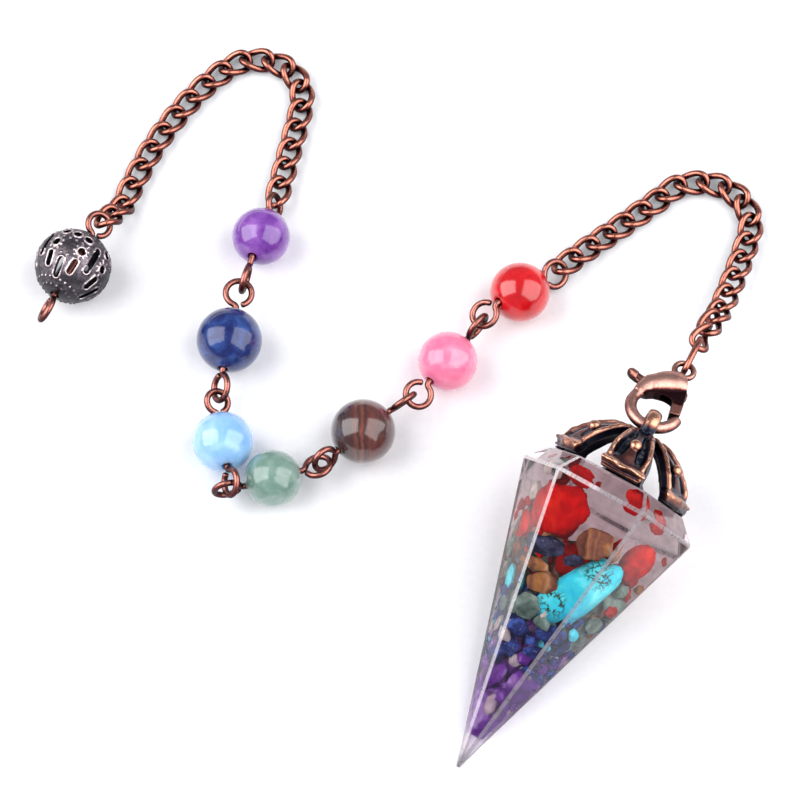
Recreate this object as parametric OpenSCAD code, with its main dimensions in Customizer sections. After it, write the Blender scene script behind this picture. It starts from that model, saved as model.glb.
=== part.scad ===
// Cone pendant on a bead strand, lying as laid out on a table.
// A six-sided clear resin cone full of stone chips carries a petal cap. A lobster clasp holds the cap's
// loop and leads over a jump ring and a chain to seven beads on eyed wires, a second chain and a pierced
// ball. Sizes are millimetres and degrees. Z is up, and the table is at Z = 0.

/* [Layout] */
// Move along X that brings the middle of the layout to the origin
middle_x = 0.25; // [-20:0.01:20]
// Move along Y that brings the middle of the layout to the origin
middle_y = 2.32; // [-20:0.01:20]

/* [Resin Cone] */
// Where the cone's point touches the table, along X
point_x = 7.06; // [-20:0.01:20]
// Where the cone's point touches the table, along Y
point_y = -50.12; // [-60:0.01:-40]
// Heading of the cone from its point to its cap
cone_heading = 59.36; // [40:0.01:80]
// Angle between the cone's axis and each facet, which is also its tilt as it lies
facet_angle = 15.05; // [12:0.01:18]
// Distance from the point to the shoulder, along the axis
shoulder = 40.2; // [34:0.1:44]
// Height of the chamfer above the shoulder
chamfer = 2.8; // [1:0.1:4]
// Distance from the sharp point at which the cone is blunted
blunt = 0.8; // [0.2:0.1:2]

/* [Stone Chips] */
// Gap all round a chip in its pocket
chip_gap = 0.08; // [0.05:0.01:0.2]
// How much the chips' outlines vary
chip_wobble = 0.13; // [0:0.01:0.25]
// How far a chip's top and bottom corners lean
chip_lean = 0.06; // [0:0.01:0.15]
// Part of a chip's height that its side takes up
chip_side = 0.5; // [0.3:0.05:0.7]
// Distance from the point to the first ring of hidden chips
back_start = 13.0; // [10:0.1:18]
// Distance between two rings of hidden chips
back_step = 4.1; // [3:0.1:6]
// Gap between two rings of hidden chips
back_gap = 0.75; // [0.4:0.05:1.5]
// Distance of the hidden chips from the axis, as part of a facet's
back_out = 0.56; // [0.4:0.01:0.7]
// Angle round the axis that a ring of hidden chips covers
back_sweep = 160; // [120:5:180]
// Part of that angle that the chips fill
back_fill = 0.8; // [0.5:0.05:0.85]
// Width of the widest hidden chip
back_widest = 4.4; // [3:0.1:5]
// Height of a hidden chip as part of its distance from the axis
back_depth = 0.78; // [0.5:0.02:0.9]
// Height of the highest hidden chip
back_highest = 3.6; // [2:0.1:4.5]

/* [Petal Cap] */
// Radius of the cap's domed outside
dome_radius = 10.1; // [8:0.1:12]
// Height of the dome's centre above the cone's point, along the axis
dome_centre = 40.2; // [36:0.1:44]
// Thickness of the dome
dome_wall = 1.0; // [0.6:0.1:1.5]
// Height of the cap's rim above the cone's point, along the axis
rim_level = 43.2; // [43.1:0.05:43.6]
// Number of petals
petals = 6; // [4:1:8]
// Turn of the petals against the middles of the facets
petal_turn = 5; // [-30:1:30]
// Half the angle that a petal covers at the rim
petal_half = 19; // [14:1:26]
// Height of the ribs above the dome
rib_height = 0.42; // [0.2:0.02:0.8]
// Depth of the sunk middle of a petal
petal_sink = 0.35; // [0:0.05:0.6]
// Radius of the rolled lip
lip_radius = 0.75; // [0.4:0.05:1]
// Distance of the rolled lip's middle line from the axis
lip_bend = 8.85; // [8.2:0.05:9.2]
// Radius of the nub near the top of each petal
nub_radius = 0.85; // [0.5:0.05:1.2]
// Angle of the nub from the axis
nub_angle = 27; // [18:1:40]
// Height of the loop's centre above the cone's point, along the axis
loop_level = 51.2; // [50:0.1:53]
// Inner radius of the loop
loop_inner = 1.4; // [1:0.05:2]
// Outer radius of the loop
loop_outer = 2.5; // [2:0.05:3.5]
// Width of the loop
loop_width = 1.9; // [1:0.1:3]

/* [Lobster Clasp] */
// Tilt of the clasp down to its eye
clasp_tilt = 20; // [0:1:40]
// Heading of the clasp from its hook to its eye
clasp_heading = 61.2; // [40:0.1:80]
// Radius of the hook's middle line
hook_bend = 3.2; // [2.5:0.05:4]
// Radius of the hook's wire
hook_wire = 0.8; // [0.5:0.05:1]
// Thickness of the clasp's body
body_thick = 2.5; // [2:0.1:3.5]
// Width of the slot for the lever
slot_width = 1.1; // [0.8:0.05:1.5]
// Thickness of the lever inside the slot
lever_thick = 0.9; // [0.6:0.05:1.3]
// Thickness of the lever's gate
gate_thick = 1.9; // [1:0.1:2.4]
// Thickness of the lever's thumb tab
tab_thick = 1.7; // [1:0.1:2.4]
// Radius of the cross pin
pin_radius = 0.35; // [0.2:0.05:0.5]
// Radius of the lever's bore
lever_bore = 0.45; // [0.3:0.05:0.6]
// Distance from the cross pin to the gate's end
gate_reach = 4.1; // [3.5:0.05:4.5]
// Distance from the cross pin to the hook's cut end
hook_reach = 4.25; // [3.6:0.05:4.7]
// Radius of the middle line of the clasp's eye
clasp_eye = 1.3; // [0.8:0.05:1.6]
// Radius of the wire of the clasp's eye
clasp_eye_wire = 0.42; // [0.3:0.05:0.6]

/* [Chain And Wires] */
// Half the length of a link's middle line
link_long = 2.15; // [1.6:0.05:2.6]
// Half the width of a link's middle line
link_wide = 1.35; // [1:0.05:1.8]
// Height of a link's twist
link_twist = 0.6; // [0:0.05:0.9]
// Radius of a link's wire
link_wire = 0.39; // [0.3:0.01:0.5]
// Bends in the outline of a link
link_steps = 12; // [10:1:16]
// Sides of a link's wire
wire_sides = 6; // [5:1:8]
// Links between the jump ring and the red bead
pendant_links = 19; // [12:1:24]
// Links between the amethyst bead and the ball
ball_links = 20; // [12:1:24]
// Half the length of the jump ring's middle line
jump_long = 2.8; // [2:0.05:3.5]
// Half the width of the jump ring's middle line
jump_wide = 1.3; // [1:0.05:2]
// Radius of the jump ring's wire
jump_wire = 0.4; // [0.3:0.01:0.5]
// Bends in the outline of the jump ring
jump_steps = 16; // [10:1:24]
// Radius of the wire through a bead
bead_wire = 0.42; // [0.3:0.01:0.5]
// Radius of the hole through a bead
bead_bore = 0.65; // [0.45:0.01:0.8]
// Radius of the bend between an eye's neck and its ring
eye_bend = 0.45; // [0.3:0.05:0.6]
// Angle that the ring of an eye covers
eye_turn = 334; // [300:1:340]
// Bends in the ring of an eye
eye_steps = 13; // [10:1:16]

/* [Pierced Ball] */
// Thickness of the ball's wall
ball_wall = 0.75; // [0.5:0.05:1.2]
// Openings in a row round the wire
stations = 8; // [6:1:9]
// Turn of the first opening about the wire
first_station = 152; // [0:1:360]
// Width of a slot
slot_wide = 0.8; // [0.5:0.05:1.2]
// Diameter of a round hole
hole = 1.1; // [0.6:0.05:1.6]
// Radius of the raised rim round a hole
rim_wire = 0.14; // [0.08:0.01:0.2]

/* [Hidden] */
$fn = 96;
far = 60;
cut = 1;

// Kinds of stone, as numbered in the tables of chips
RED_JASPER = 0;
TIGER_EYE = 1;
TURQUOISE = 2;
AVENTURINE = 3;
LAPIS = 4;
AMETHYST = 5;
QUARTZ = 6;
kinds = 7;

// Chips under the three upper facets, each: distance from the point, offset to the right, depth of its
// middle, length, width, height, turn to the right, kind
upper_chips = [
    [35.1, -3.4, 3.5, 6.9, 6.0, 4.2, 20, RED_JASPER],
    [30.5, -3.2, 2.5, 2.4, 4.6, 2.8, -18, LAPIS],
    [33.6, 2.4, 2.6, 3.8, 4.2, 3.0, -30, TIGER_EYE],
    [27.9, -3.3, 2.2, 1.5, 3.4, 1.8, -10, TIGER_EYE],
    [26.3, -1.4, 2.6, 2.6, 3.9, 2.6, -20, TIGER_EYE],
    [30.6, 0.9, 2.0, 1.5, 2.4, 2.0, -30, LAPIS],
    [27.4, 3.1, 3.8, 9.0, 3.8, 2.8, 29, TURQUOISE],
    [34.6, 8.8, 2.6, 4.9, 4.6, 3.2, 30, RED_JASPER],
    [40.2, 4.2, 3.2, 2.4, 2.8, 2.0, 30, RED_JASPER],
    [39.9, -3.4, 2.8, 1.6, 3.2, 2.0, 10, RED_JASPER],
    [39.6, -8.6, 2.2, 1.4, 1.8, 1.6, 0, QUARTZ],
    [39.6, 9.0, 2.6, 1.8, 2.6, 2.0, 0, RED_JASPER],
    [22.8, -1.7, 2.4, 3.2, 3.4, 2.8, 30, AVENTURINE],
    [30.4, 8.3, 1.9, 2.0, 2.2, 2.0, 20, AVENTURINE],
    [25.0, 7.2, 1.9, 2.6, 2.2, 2.0, 60, AVENTURINE],
    [27.7, 8.2, 1.7, 1.6, 2.2, 1.8, 0, RED_JASPER],
    [25.2, -6.3, 1.9, 3.0, 2.2, 2.2, 0, TURQUOISE],
    [22.6, 5.6, 1.6, 1.4, 2.0, 1.6, 20, TURQUOISE],
    [19.8, -1.4, 1.9, 2.2, 2.6, 2.2, 10, LAPIS],
    [20.9, 2.4, 2.5, 2.0, 3.4, 2.0, -20, LAPIS],
    [18.1, 1.7, 1.7, 1.3, 2.8, 1.6, -20, LAPIS],
    [16.6, -1.8, 1.8, 2.0, 1.4, 1.5, 20, LAPIS],
    [19.4, -4.7, 1.5, 2.2, 1.4, 1.6, 30, QUARTZ],
    [13.4, -1.0, 1.7, 3.2, 1.5, 1.6, 10, AMETHYST],
    [13.6, 1.2, 1.8, 3.2, 1.4, 1.5, 12, AMETHYST],
    [16.1, 0.2, 1.7, 1.6, 1.6, 1.6, 40, QUARTZ],
    [9.6, 0.0, 1.4, 2.6, 1.5, 1.2, 0, QUARTZ],
    [36.4, -9.0, 2.3, 2.6, 3.0, 2.6, 10, QUARTZ],
    [32.2, -7.9, 2.4, 3.4, 3.0, 2.8, 20, RED_JASPER],
    [28.8, -7.4, 2.0, 2.0, 2.4, 2.2, 0, TIGER_EYE],
    [22.0, -5.4, 1.7, 2.0, 2.0, 1.8, 20, AVENTURINE]
];

// Kinds of the chips along the hidden sides, ring by ring from the point
back_kinds = [
    [AMETHYST, QUARTZ], [AMETHYST, LAPIS], [LAPIS, AVENTURINE], [AVENTURINE, LAPIS, TURQUOISE],
    [TIGER_EYE, AVENTURINE, RED_JASPER], [RED_JASPER, TIGER_EYE, RED_JASPER]
];

// Chips in the middle of the cone, each: distance from the point, offset to the right, offset up,
// length, width, height, turn to the right, kind
middle_chips = [
    [37.0, -4.0, 0.4, 3.6, 3.2, 3.0, 70, AVENTURINE],
    [31.6, 0.6, 1.2, 4.4, 4.0, 3.2, 40, RED_JASPER],
    [26.0, 0.4, 0.2, 3.2, 3.0, 2.4, 10, TURQUOISE],
    [21.6, 0.2, 0.0, 2.8, 2.4, 2.0, 60, AMETHYST]
];

// An eye is given as: heading, tilt, roll, length of its neck, radius of its ring's middle line.
// A bead or ball is given as: across, away, diameter, heading of its wire, tilt of its wire, the eye
// nearer the ball's end, the eye nearer the cone.
ball_place = [-44.2, 19.1, 10.1, 63, -5, [-117, -8, 65, 0.6, 1.6], [63, -5, 30, 0.6, 1.6]];
amethyst_place = [-18.9, 24.0, 7.9, -107, 18, [73, -18, 60, 0.6, 1.5], [-107, -14, 88, 1.4, 1.75]];
lapis_place = [-22.9, 8.5, 8.8, -100, 3, [82, 2, 5, 0.9, 1.75], [-97, -18, 55, 0.7, 1.75]];
light_blue_place = [-23.5, -6.0, 8.1, -80, 13, [95, 8, 25, 0.6, 1.5], [-77, 4, 60, 0.6, 1.7]];
aventurine_place = [-16.8, -11.1, 7.6, 15, 3, [-168, 6, 95, 0.7, 1.7], [14, 8, -25, 0.65, 1.7]];
tiger_eye_place = [-4.9, -4.6, 8.6, 40, 0, [-143, 4, -65, 0.55, 1.6], [36, 0, -75, 0.75, 1.75]];
pink_place = [6.4, 5.6, 8.0, 52, -8, [-129, -2, -15, 0.7, 1.7], [50, 18, 90, 0.8, 1.75]];
red_place = [16.2, 15.7, 8.1, 36, -22, [-142, -18, 8, 0.7, 1.7], [36, -12, 40, 0.6, 1.75]];

// Openings of the ball, each: latitude from the wire's middle plane, stations beyond the first, stations
// to the next, length along the wire
round_holes = [[3, 0, 1, hole], [30, 0, 1, hole], [31, 0.5, 2, hole]];
long_slots = [[-25, 0, 1, 2.2], [-35, 0.5, 2, 2.9], [2, 1.5, 2, 4.0]];

// Routes of the chains through the middles of their links, each: across, away, height, roll
ball_route = [
    [-39.7, 26.9, 3.7, -5], [-37.9, 29.9, 1.6, -8], [-37.1, 32.5, 1.1, 0], [-34.4, 38.4, 1.1, 0],
    [-30.8, 44.1, 1.1, 0], [-26.6, 49.0, 1.1, 0], [-22.1, 52.2, 1.1, 0], [-17.8, 52.1, 1.1, 0],
    [-14.8, 50.1, 1.1, 0], [-13.6, 46.5, 1.1, 0], [-14.5, 41.5, 1.1, 0], [-15.7, 36.2, 1.4, 0],
    [-16.7, 31.7, 1.7, 0]
];
pendant_route = [
    [22.9, 21.0, 1.9, 0], [25.6, 23.2, 1.6, 0], [29.7, 26.4, 1.1, 0], [34.4, 29.9, 1.1, 0],
    [38.8, 33.1, 1.1, 0], [43.7, 33.1, 1.1, 0], [46.9, 30.8, 1.1, 0], [48.1, 27.1, 1.2, 0],
    [46.8, 22.3, 1.7, 0], [44.8, 17.0, 2.8, 0], [43.2, 13.0, 4.2, 0], [42.0, 10.7, 5.8, -10],
    [40.3, 7.6, 7.4, -55]
];
route_steps = 240;
route_look = 0.02;
any_way = [1, 2, 3];

// Where the hook meets the cap's loop, and where the jump ring hangs
hook_place = [32.36, -7.42, 13.3];
jump_place = [38.7, 4.5, 8.6];
jump_heading = 65;
jump_tilt = -12;
jump_roll = -83;

// Clasp seen from above, each: to the right, toward the eye
hook_middle = [-0.6, 3.1];
hook_from = -220;
hook_to = -1.5;
pivot = [1.1, 7.0];
eye_middle = [0, 11.4];
body_outline = [
    [-4.35, 5.3], [-4.3, 4.2], [-2.6, 4.3], [-1.6, 5.1], [-0.3, 5.45], [0.5, 5.4], [0.9, 5.2],
    [2.4, 5.3], [2.15, 6.7], [1.85, 7.9], [1.1, 9.6], [0.45, 10.3], [-0.45, 10.3], [-1.2, 9.6],
    [-1.8, 9.0], [-2.8, 7.9], [-3.8, 6.9]
];
mouth_outline = [[1.4, 1.5], [5.4, 1.5], [5.4, 4.5], [1.4, 4.5]];
slot_outline = [
    [-7, 5.35], [-7, 9.9], [0.4, 8.75], [2.0, 8.3], [3.0, 6.8], [3.0, 4.6], [-0.6, 4.6], [-0.9, 5.6]
];
gate_outline = [[0.2, 6.6], [0.9, 5.2], [1.55, 2.6], [2.85, 2.6], [2.5, 5.3], [2.1, 7.0]];
arm_outline = [[0.6, 8.0], [-4.0, 7.0], [-4.0, 5.8], [0.6, 6.0]];
tab_outline = [[-3.6, 7.1], [-5.7, 7.15], [-5.7, 5.85], [-3.6, 5.75]];
tab_end = [-5.7, 6.5];
tab_radius = 0.65;
gate_from = 2.4;
tab_from = 5.95;
hub_radius = 1.2;

// Petal seen along the axis, each: distance from the axis, half width
petal_outline = [[2.4, 0.85], [3.4, 1.3], [5.2, 2.0], [7.0, 2.6], [8.4, 2.85], [9.4, 2.8]];
petal_inside = [[3.6, 0.4], [4.6, 1.0], [5.8, 1.5], [7.0, 1.85], [8.3, 2.0]];
petal_drop = [[5.3, 0.12], [6.0, 0.4], [6.8, 0.62], [7.4, 0.55], [7.8, 0.2]];
petal_gap = [[3.5, 0.35], [7.0, 0.85], [9.4, 1.75], [12.5, 3.2]];
loop_round = 0.3;

function unit(v) = v / norm(v);
function toward(heading, tilt) = [cos(heading) * cos(tilt), sin(heading) * cos(tilt), sin(tilt)];
function wave(k) = sin(137 * k + 41);

// Moves and turns things: their X to a heading and tilt, then a roll about it
module lie(at, heading, tilt, roll = 0)
    translate(at) rotate([0, 0, heading]) rotate([0, -tilt, 0]) rotate([roll, 0, 0]) children();

module laid_out() translate([-middle_x, -middle_y, 0]) children();

// Along the cone's axis from its point: X is the axis, Y to the left, Z out of the uppermost facet
module along_cone() laid_out() lie([point_x, point_y, 0], cone_heading, facet_angle) children();

// Outline symmetric about X from rows of distance and half width
module mirrored(rows)
    polygon(concat(rows, [for (i = [len(rows) - 1 : -1 : 0]) [rows[i][0], -rows[i][1]]]));

// Stone chip: two rings of six corners with a corner above and below, its outline varied by a number
function chip_ring(size, level, number) =
    [for (k = [0 : 5]) let (r = 1 + chip_wobble * wave(number + 3 * k + 11 * level))
        [size[0] / 2 * r * cos(60 * k + 9 * level), size[1] / 2 * r * sin(60 * k + 9 * level),
         size[2] / 2 * level * chip_side * (1 + chip_wobble * wave(2 * number + 5 * k))]];
chip_faces = concat(
    [for (k = [0 : 5]) [0, 1 + k, 1 + (k + 1) % 6]],
    [for (k = [0 : 5]) [1 + k, 7 + k, 7 + (k + 1) % 6]],
    [for (k = [0 : 5]) [1 + k, 7 + (k + 1) % 6, 1 + (k + 1) % 6]],
    [for (k = [0 : 5]) [13, 7 + (k + 1) % 6, 7 + k]]);

module chip(size, number)
    polyhedron(points = concat(
        [[chip_lean * size[0] * wave(number), chip_lean * size[1] * wave(number + 5), -size[2] / 2]],
        chip_ring(size, -1, number), chip_ring(size, 1, number),
        [[chip_lean * size[0] * wave(number + 8), chip_lean * size[1] * wave(number + 2), size[2] / 2]]),
        faces = chip_faces);

// Height of the cone's surface over its axis at a distance from the point and an offset
function surface_up(along, aside) = let (flat = along * tan(facet_angle))
    min(flat, 2 * flat - sqrt(3) * abs(aside));
function facet_roll(along, aside) = let (half = along * tan(facet_angle) / sqrt(3))
    aside > half ? 60 : aside < -half ? -60 : 0;

// Chips of one kind, or of all kinds when none is named, grown by a gap
module chips(kind, gap) {
    grow = [2 * gap, 2 * gap, 2 * gap];
    for (i = [0 : len(upper_chips) - 1]) {
        row = upper_chips[i];
        if (kind == row[7] || kind == kinds)
            translate([row[0], -row[1], surface_up(row[0], row[1])])
                rotate([facet_roll(row[0], row[1]), 0, 0]) rotate([0, -facet_angle, 0])
                translate([0, 0, -row[2]]) rotate([0, 0, -row[6]])
                chip([row[3], row[4], row[5]] + grow, i);
    }
    for (i = [0 : len(middle_chips) - 1]) {
        row = middle_chips[i];
        if (kind == row[7] || kind == kinds)
            translate([row[0], -row[1], row[2]]) rotate([0, 0, -row[6]])
                chip([row[3], row[4], row[5]] + grow, 40 + i);
    }
    for (i = [0 : len(back_kinds) - 1]) {
        along = back_start + back_step * i;
        out = back_out * along * tan(facet_angle);
        count = len(back_kinds[i]);
        wide = min(back_fill * back_sweep / 180 * PI * out / count, back_widest);
        high = min(back_depth * out, back_highest);
        for (k = [0 : count - 1])
            if (kind == back_kinds[i][k] || kind == kinds)
                rotate([180 + back_sweep * ((k + 0.5) / count - 0.5), 0, 0]) translate([along, 0, out])
                    chip([back_step - back_gap, wide, high] + grow, 60 + 5 * i + k);
    }
}

module chip_node(kind) along_cone() chips(kind, 0);

// Cone of three wedges, each holding two opposite facets
module cone_body() {
    side = tan(facet_angle);
    profile = [[blunt, blunt * side], [shoulder, shoulder * side],
               [shoulder + chamfer, shoulder * side - chamfer * cos(30)]];
    intersection_for (k = [0 : 2])
        rotate([60 * k, 0, 0]) rotate([90, 0, 0])
            linear_extrude(height = far, center = true) mirrored(profile);
}

module resin_cone() color([0.9, 0.88, 0.82, 0.45]) along_cone()
    difference() {
        cone_body();
        chips(kinds, chip_gap);
    }

module red_jasper_chips() color([0.72, 0.13, 0.1]) chip_node(RED_JASPER);
module tiger_eye_chips() color([0.55, 0.33, 0.12]) chip_node(TIGER_EYE);
module turquoise_chips() color([0.3, 0.66, 0.68]) chip_node(TURQUOISE);
module aventurine_chips() color([0.45, 0.58, 0.47]) chip_node(AVENTURINE);
module lapis_chips() color([0.13, 0.17, 0.4]) chip_node(LAPIS);
module amethyst_chips() color([0.42, 0.3, 0.6]) chip_node(AMETHYST);
module quartz_chips() color([0.85, 0.78, 0.76]) chip_node(QUARTZ);

// Petal cap: Z is the cone's axis from its point and X points out of the uppermost facet
module skin(outer, inner)
    translate([0, 0, dome_centre]) difference() {
        sphere(r = outer);
        sphere(r = inner);
    }

module above_rim() translate([-far / 2, -far / 2, rim_level]) cube(far);

module on_petals() for (k = [0 : petals - 1]) rotate([0, 0, petal_turn + 360 * k / petals]) children();

module petal_cap() color([0.5, 0.3, 0.22]) along_cone() rotate([0, 90, 0]) rotate([0, 0, 180]) {
    difference() {
        union() {
            intersection() {
                skin(dome_radius, dome_radius - dome_wall);
                above_rim();
            }
            intersection() {
                skin(dome_radius + rib_height, dome_radius - dome_wall / 2);
                above_rim();
                linear_extrude(height = far) on_petals() {
                    difference() {
                        mirrored(petal_outline);
                        mirrored(petal_inside);
                    }
                    mirrored(petal_drop);
                }
            }
        }
        intersection() {
            skin(dome_radius + rib_height, dome_radius - petal_sink);
            linear_extrude(height = far) on_petals() difference() {
                mirrored(petal_inside);
                mirrored(petal_drop);
            }
        }
        on_petals() rotate([0, 0, 180 / petals]) linear_extrude(height = far) mirrored(petal_gap);
    }
    on_petals() {
        translate([0, 0, dome_centre]) rotate([0, nub_angle, 0]) translate([0, 0, dome_radius])
            sphere(r = nub_radius);
        rotate([0, 0, -petal_half]) rotate_extrude(angle = 2 * petal_half)
            translate([lip_bend, rim_level + lip_radius]) circle(r = lip_radius);
    }
    translate([0, 0, loop_level]) rotate([90, 0, 0]) rotate_extrude()
        polygon([[loop_inner, loop_round - loop_width / 2], [loop_inner + loop_round, -loop_width / 2],
                 [loop_outer - loop_round, -loop_width / 2], [loop_outer, loop_round - loop_width / 2],
                 [loop_outer, loop_width / 2 - loop_round], [loop_outer - loop_round, loop_width / 2],
                 [loop_inner + loop_round, loop_width / 2], [loop_inner, loop_width / 2 - loop_round]]);
}

// Clasp: X to the right, Y toward the eye, Z out of its upper face
module on_clasp() laid_out() lie(hook_place, clasp_heading, -clasp_tilt) rotate([0, 0, -90]) children();

module slab(height) linear_extrude(height = height, center = true) children();

module disc(at, radius, height) translate(at) cylinder(r = radius, h = height, center = true);

module clasp_body() color([0.5, 0.3, 0.22]) on_clasp() {
    difference() {
        union() {
            translate(hook_middle) rotate([0, 0, hook_from])
                rotate_extrude(angle = hook_to - hook_from) translate([hook_bend, 0])
                circle(r = hook_wire);
            slab(body_thick) polygon(body_outline);
        }
        intersection() {
            disc(pivot, hook_reach, body_thick + cut);
            slab(2 * body_thick) polygon(mouth_outline);
        }
        slab(slot_width) polygon(slot_outline);
    }
    disc(pivot, pin_radius, body_thick);
    translate(eye_middle) rotate_extrude() translate([clasp_eye, 0]) circle(r = clasp_eye_wire);
}

module lever_shape(thick) slab(thick) {
    polygon(gate_outline);
    polygon(arm_outline);
    polygon(tab_outline);
    translate(pivot) circle(r = hub_radius);
    translate(tab_end) circle(r = tab_radius);
}

module clasp_lever() color([0.5, 0.3, 0.22]) on_clasp()
    difference() {
        intersection() {
            union() {
                lever_shape(lever_thick);
                difference() {
                    slab(gate_thick) polygon(gate_outline);
                    disc(pivot, gate_from, far);
                }
                difference() {
                    slab(tab_thick) {
                        polygon(tab_outline);
                        translate(tab_end) circle(r = tab_radius);
                    }
                    disc(pivot, tab_from, far);
                }
            }
            union() {
                disc(pivot, gate_reach, far);
                translate([-far, 0, -far / 2]) cube([far, far, far]);
            }
        }
        disc(pivot, lever_bore, far);
    }

// Corners round a wire where it runs one way, counted from its outside, and the faces between them
function square_to(run, way) = unit(way - run * (way * run));
function corners(at, run, out, radius) = let (up = cross(run, out))
    [for (k = [0 : wire_sides - 1]) let (a = 360 * k / wire_sides)
        at + radius * (cos(a) * out + sin(a) * up)];
function wall_faces(spans, rings) =
    [for (i = [0 : spans - 1], k = [0 : wire_sides - 1])
        let (n = (k + 1) % wire_sides, here = i * wire_sides, next = (i + 1) % rings * wire_sides)
        each [[here + k, next + n, here + n], [here + k, next + k, next + n]]];
function end_faces(rings) = let (last = (rings - 1) * wire_sides)
    [for (k = [1 : wire_sides - 2]) each [[0, k, k + 1], [last, last + k + 1, last + k]]];

// Wire bent round an oval, with its middle line raised and lowered twice by the twist
function oval_at(long, wide, twist, t) = [long * cos(t), wide * sin(t), twist * sin(2 * t)];
function oval_run(long, wide, twist, t) = unit([-long * sin(t), wide * cos(t), 2 * twist * cos(2 * t)]);

module oval_wire(long, wide, twist, radius, steps)
    polyhedron(points = [for (i = [0 : steps - 1])
        let (t = 360 * i / steps, at = oval_at(long, wide, twist, t), run = oval_run(long, wide, twist, t))
        each corners(at, run, square_to(run, at), radius)],
        faces = wall_faces(steps, steps));

// Wire bent along a path, with its corners carried from bend to bend
function steps_along(path) = [for (i = [1 : len(path) - 1]) unit(path[i] - path[i - 1])];
function runs_along(path) = let (step = steps_along(path), last = len(step) - 1)
    [for (i = [0 : last + 1]) unit(step[max(0, i - 1)] + step[min(last, i)])];
function outs_along(run) =
    [for (i = 0, out = square_to(run[0], any_way); i < len(run);
          out = square_to(run[min(i + 1, len(run) - 1)], out), i = i + 1) out];

module bent_wire(path, radius) {
    run = runs_along(path);
    out = outs_along(run);
    polyhedron(points = [for (i = [0 : len(path) - 1]) each corners(path[i], run[i], out[i], radius)],
        faces = concat(wall_faces(len(path) - 1, len(path)), end_faces(len(path))));
}

module jump_ring() color([0.55, 0.33, 0.24]) laid_out()
    lie(jump_place, jump_heading, jump_tilt, jump_roll)
    oval_wire(jump_long, jump_wide, 0, jump_wire, jump_steps);

// Smooth curve through the rows of a route, and its length up to each of many steps
function curve(rows, u) =
    let (n = len(rows) - 1, i = min(floor(u), n - 1), t = u - i, b = rows[i], c = rows[i + 1],
         a = i > 0 ? rows[i - 1] : 2 * b - c, d = i + 2 <= n ? rows[i + 2] : 2 * c - b)
    0.5 * (2 * b + (c - a) * t + (2 * a - 5 * b + 4 * c - d) * t * t
           + (3 * b - a - 3 * c + d) * t * t * t);
function place(rows, u) = let (p = curve(rows, max(0, min(len(rows) - 1, u)))) [p[0], p[1], p[2]];
function strides(rows) = let (n = (len(rows) - 1) / route_steps)
    [for (k = [0 : route_steps - 1]) norm(place(rows, n * (k + 1)) - place(rows, n * k))];
function lengths(rows) = let (n = (len(rows) - 1) / route_steps, stride = strides(rows))
    [for (k = 0, sum = 0; k <= route_steps; sum = sum + (k < route_steps ? stride[k] : 0), k = k + 1)
        [sum, n * k]];

module chain(rows, count) {
    table = lengths(rows);
    whole = table[route_steps][0];
    for (k = [0 : count - 1]) {
        u = lookup(whole * k / (count - 1), table);
        run = place(rows, u + route_look) - place(rows, u - route_look);
        lie(place(rows, u), atan2(run[1], run[0]), atan2(run[2], norm([run[0], run[1]])),
            curve(rows, u)[3])
            oval_wire(link_long, link_wide, link_twist, link_wire, link_steps);
    }
}

module pendant_chain() color([0.6, 0.36, 0.27]) laid_out() chain(pendant_route, pendant_links);
module ball_chain() color([0.6, 0.36, 0.27]) laid_out() chain(ball_route, ball_links);

// Round bead drilled for its wire
module bead(row) laid_out()
    lie([row[0], row[1], row[2] / 2], row[3], row[4]) rotate([0, 90, 0]) difference() {
        sphere(d = row[2]);
        cylinder(r = bead_bore, h = 2 * row[2], center = true);
    }

// Path of an eye from the mouth of its bead: the neck, the bend and the ring
function eye_path(mouth, row) =
    let (ahead = toward(row[0], row[1]), left = [-sin(row[0]), cos(row[0]), 0],
         aside = cos(row[2]) * left + sin(row[2]) * cross(ahead, left),
         middle = mouth + (row[3] + row[4]) * ahead, from = 180 - eye_bend / row[4] * 180 / PI,
         to = 180 - eye_turn, corner = eye_bend * (1 - cos(45)))
    concat([mouth, mouth + (row[3] - eye_bend) * ahead,
            mouth + (row[3] - corner) * ahead + corner * aside],
           [for (k = [0 : eye_steps]) let (a = from + (to - from) * k / eye_steps)
               middle + row[4] * (cos(a) * ahead + sin(a) * aside)]);
function turned_round(path) = [for (i = [len(path) - 1 : -1 : 0]) path[i]];

module eyed_wire(row) color([0.6, 0.36, 0.27]) laid_out() {
    middle = [row[0], row[1], row[2] / 2];
    reach = row[2] / 2 * toward(row[3], row[4]);
    bent_wire(concat(turned_round(eye_path(middle - reach, row[5])), eye_path(middle + reach, row[6])),
        bead_wire);
}

module red_bead() color([0.66, 0.16, 0.15]) bead(red_place);
module red_wire() eyed_wire(red_place);
module pink_bead() color([0.85, 0.62, 0.6]) bead(pink_place);
module pink_wire() eyed_wire(pink_place);
module tiger_eye_bead() color([0.5, 0.3, 0.1]) bead(tiger_eye_place);
module tiger_eye_wire() eyed_wire(tiger_eye_place);
module aventurine_bead() color([0.35, 0.55, 0.42]) bead(aventurine_place);
module aventurine_wire() eyed_wire(aventurine_place);
module light_blue_bead() color([0.6, 0.75, 0.82]) bead(light_blue_place);
module light_blue_wire() eyed_wire(light_blue_place);
module lapis_bead() color([0.16, 0.2, 0.42]) bead(lapis_place);
module lapis_wire() eyed_wire(lapis_place);
module amethyst_bead() color([0.4, 0.27, 0.55]) bead(amethyst_place);
module amethyst_wire() eyed_wire(amethyst_place);
module ball_wire() eyed_wire(ball_place);

// Pierced ball round its wire, which runs along Z here
module slot_shape(long) {
    square([long - slot_wide, slot_wide], center = true);
    for (x = [-1, 1]) translate([x * (long - slot_wide) / 2, 0]) circle(d = slot_wide);
}

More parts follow.
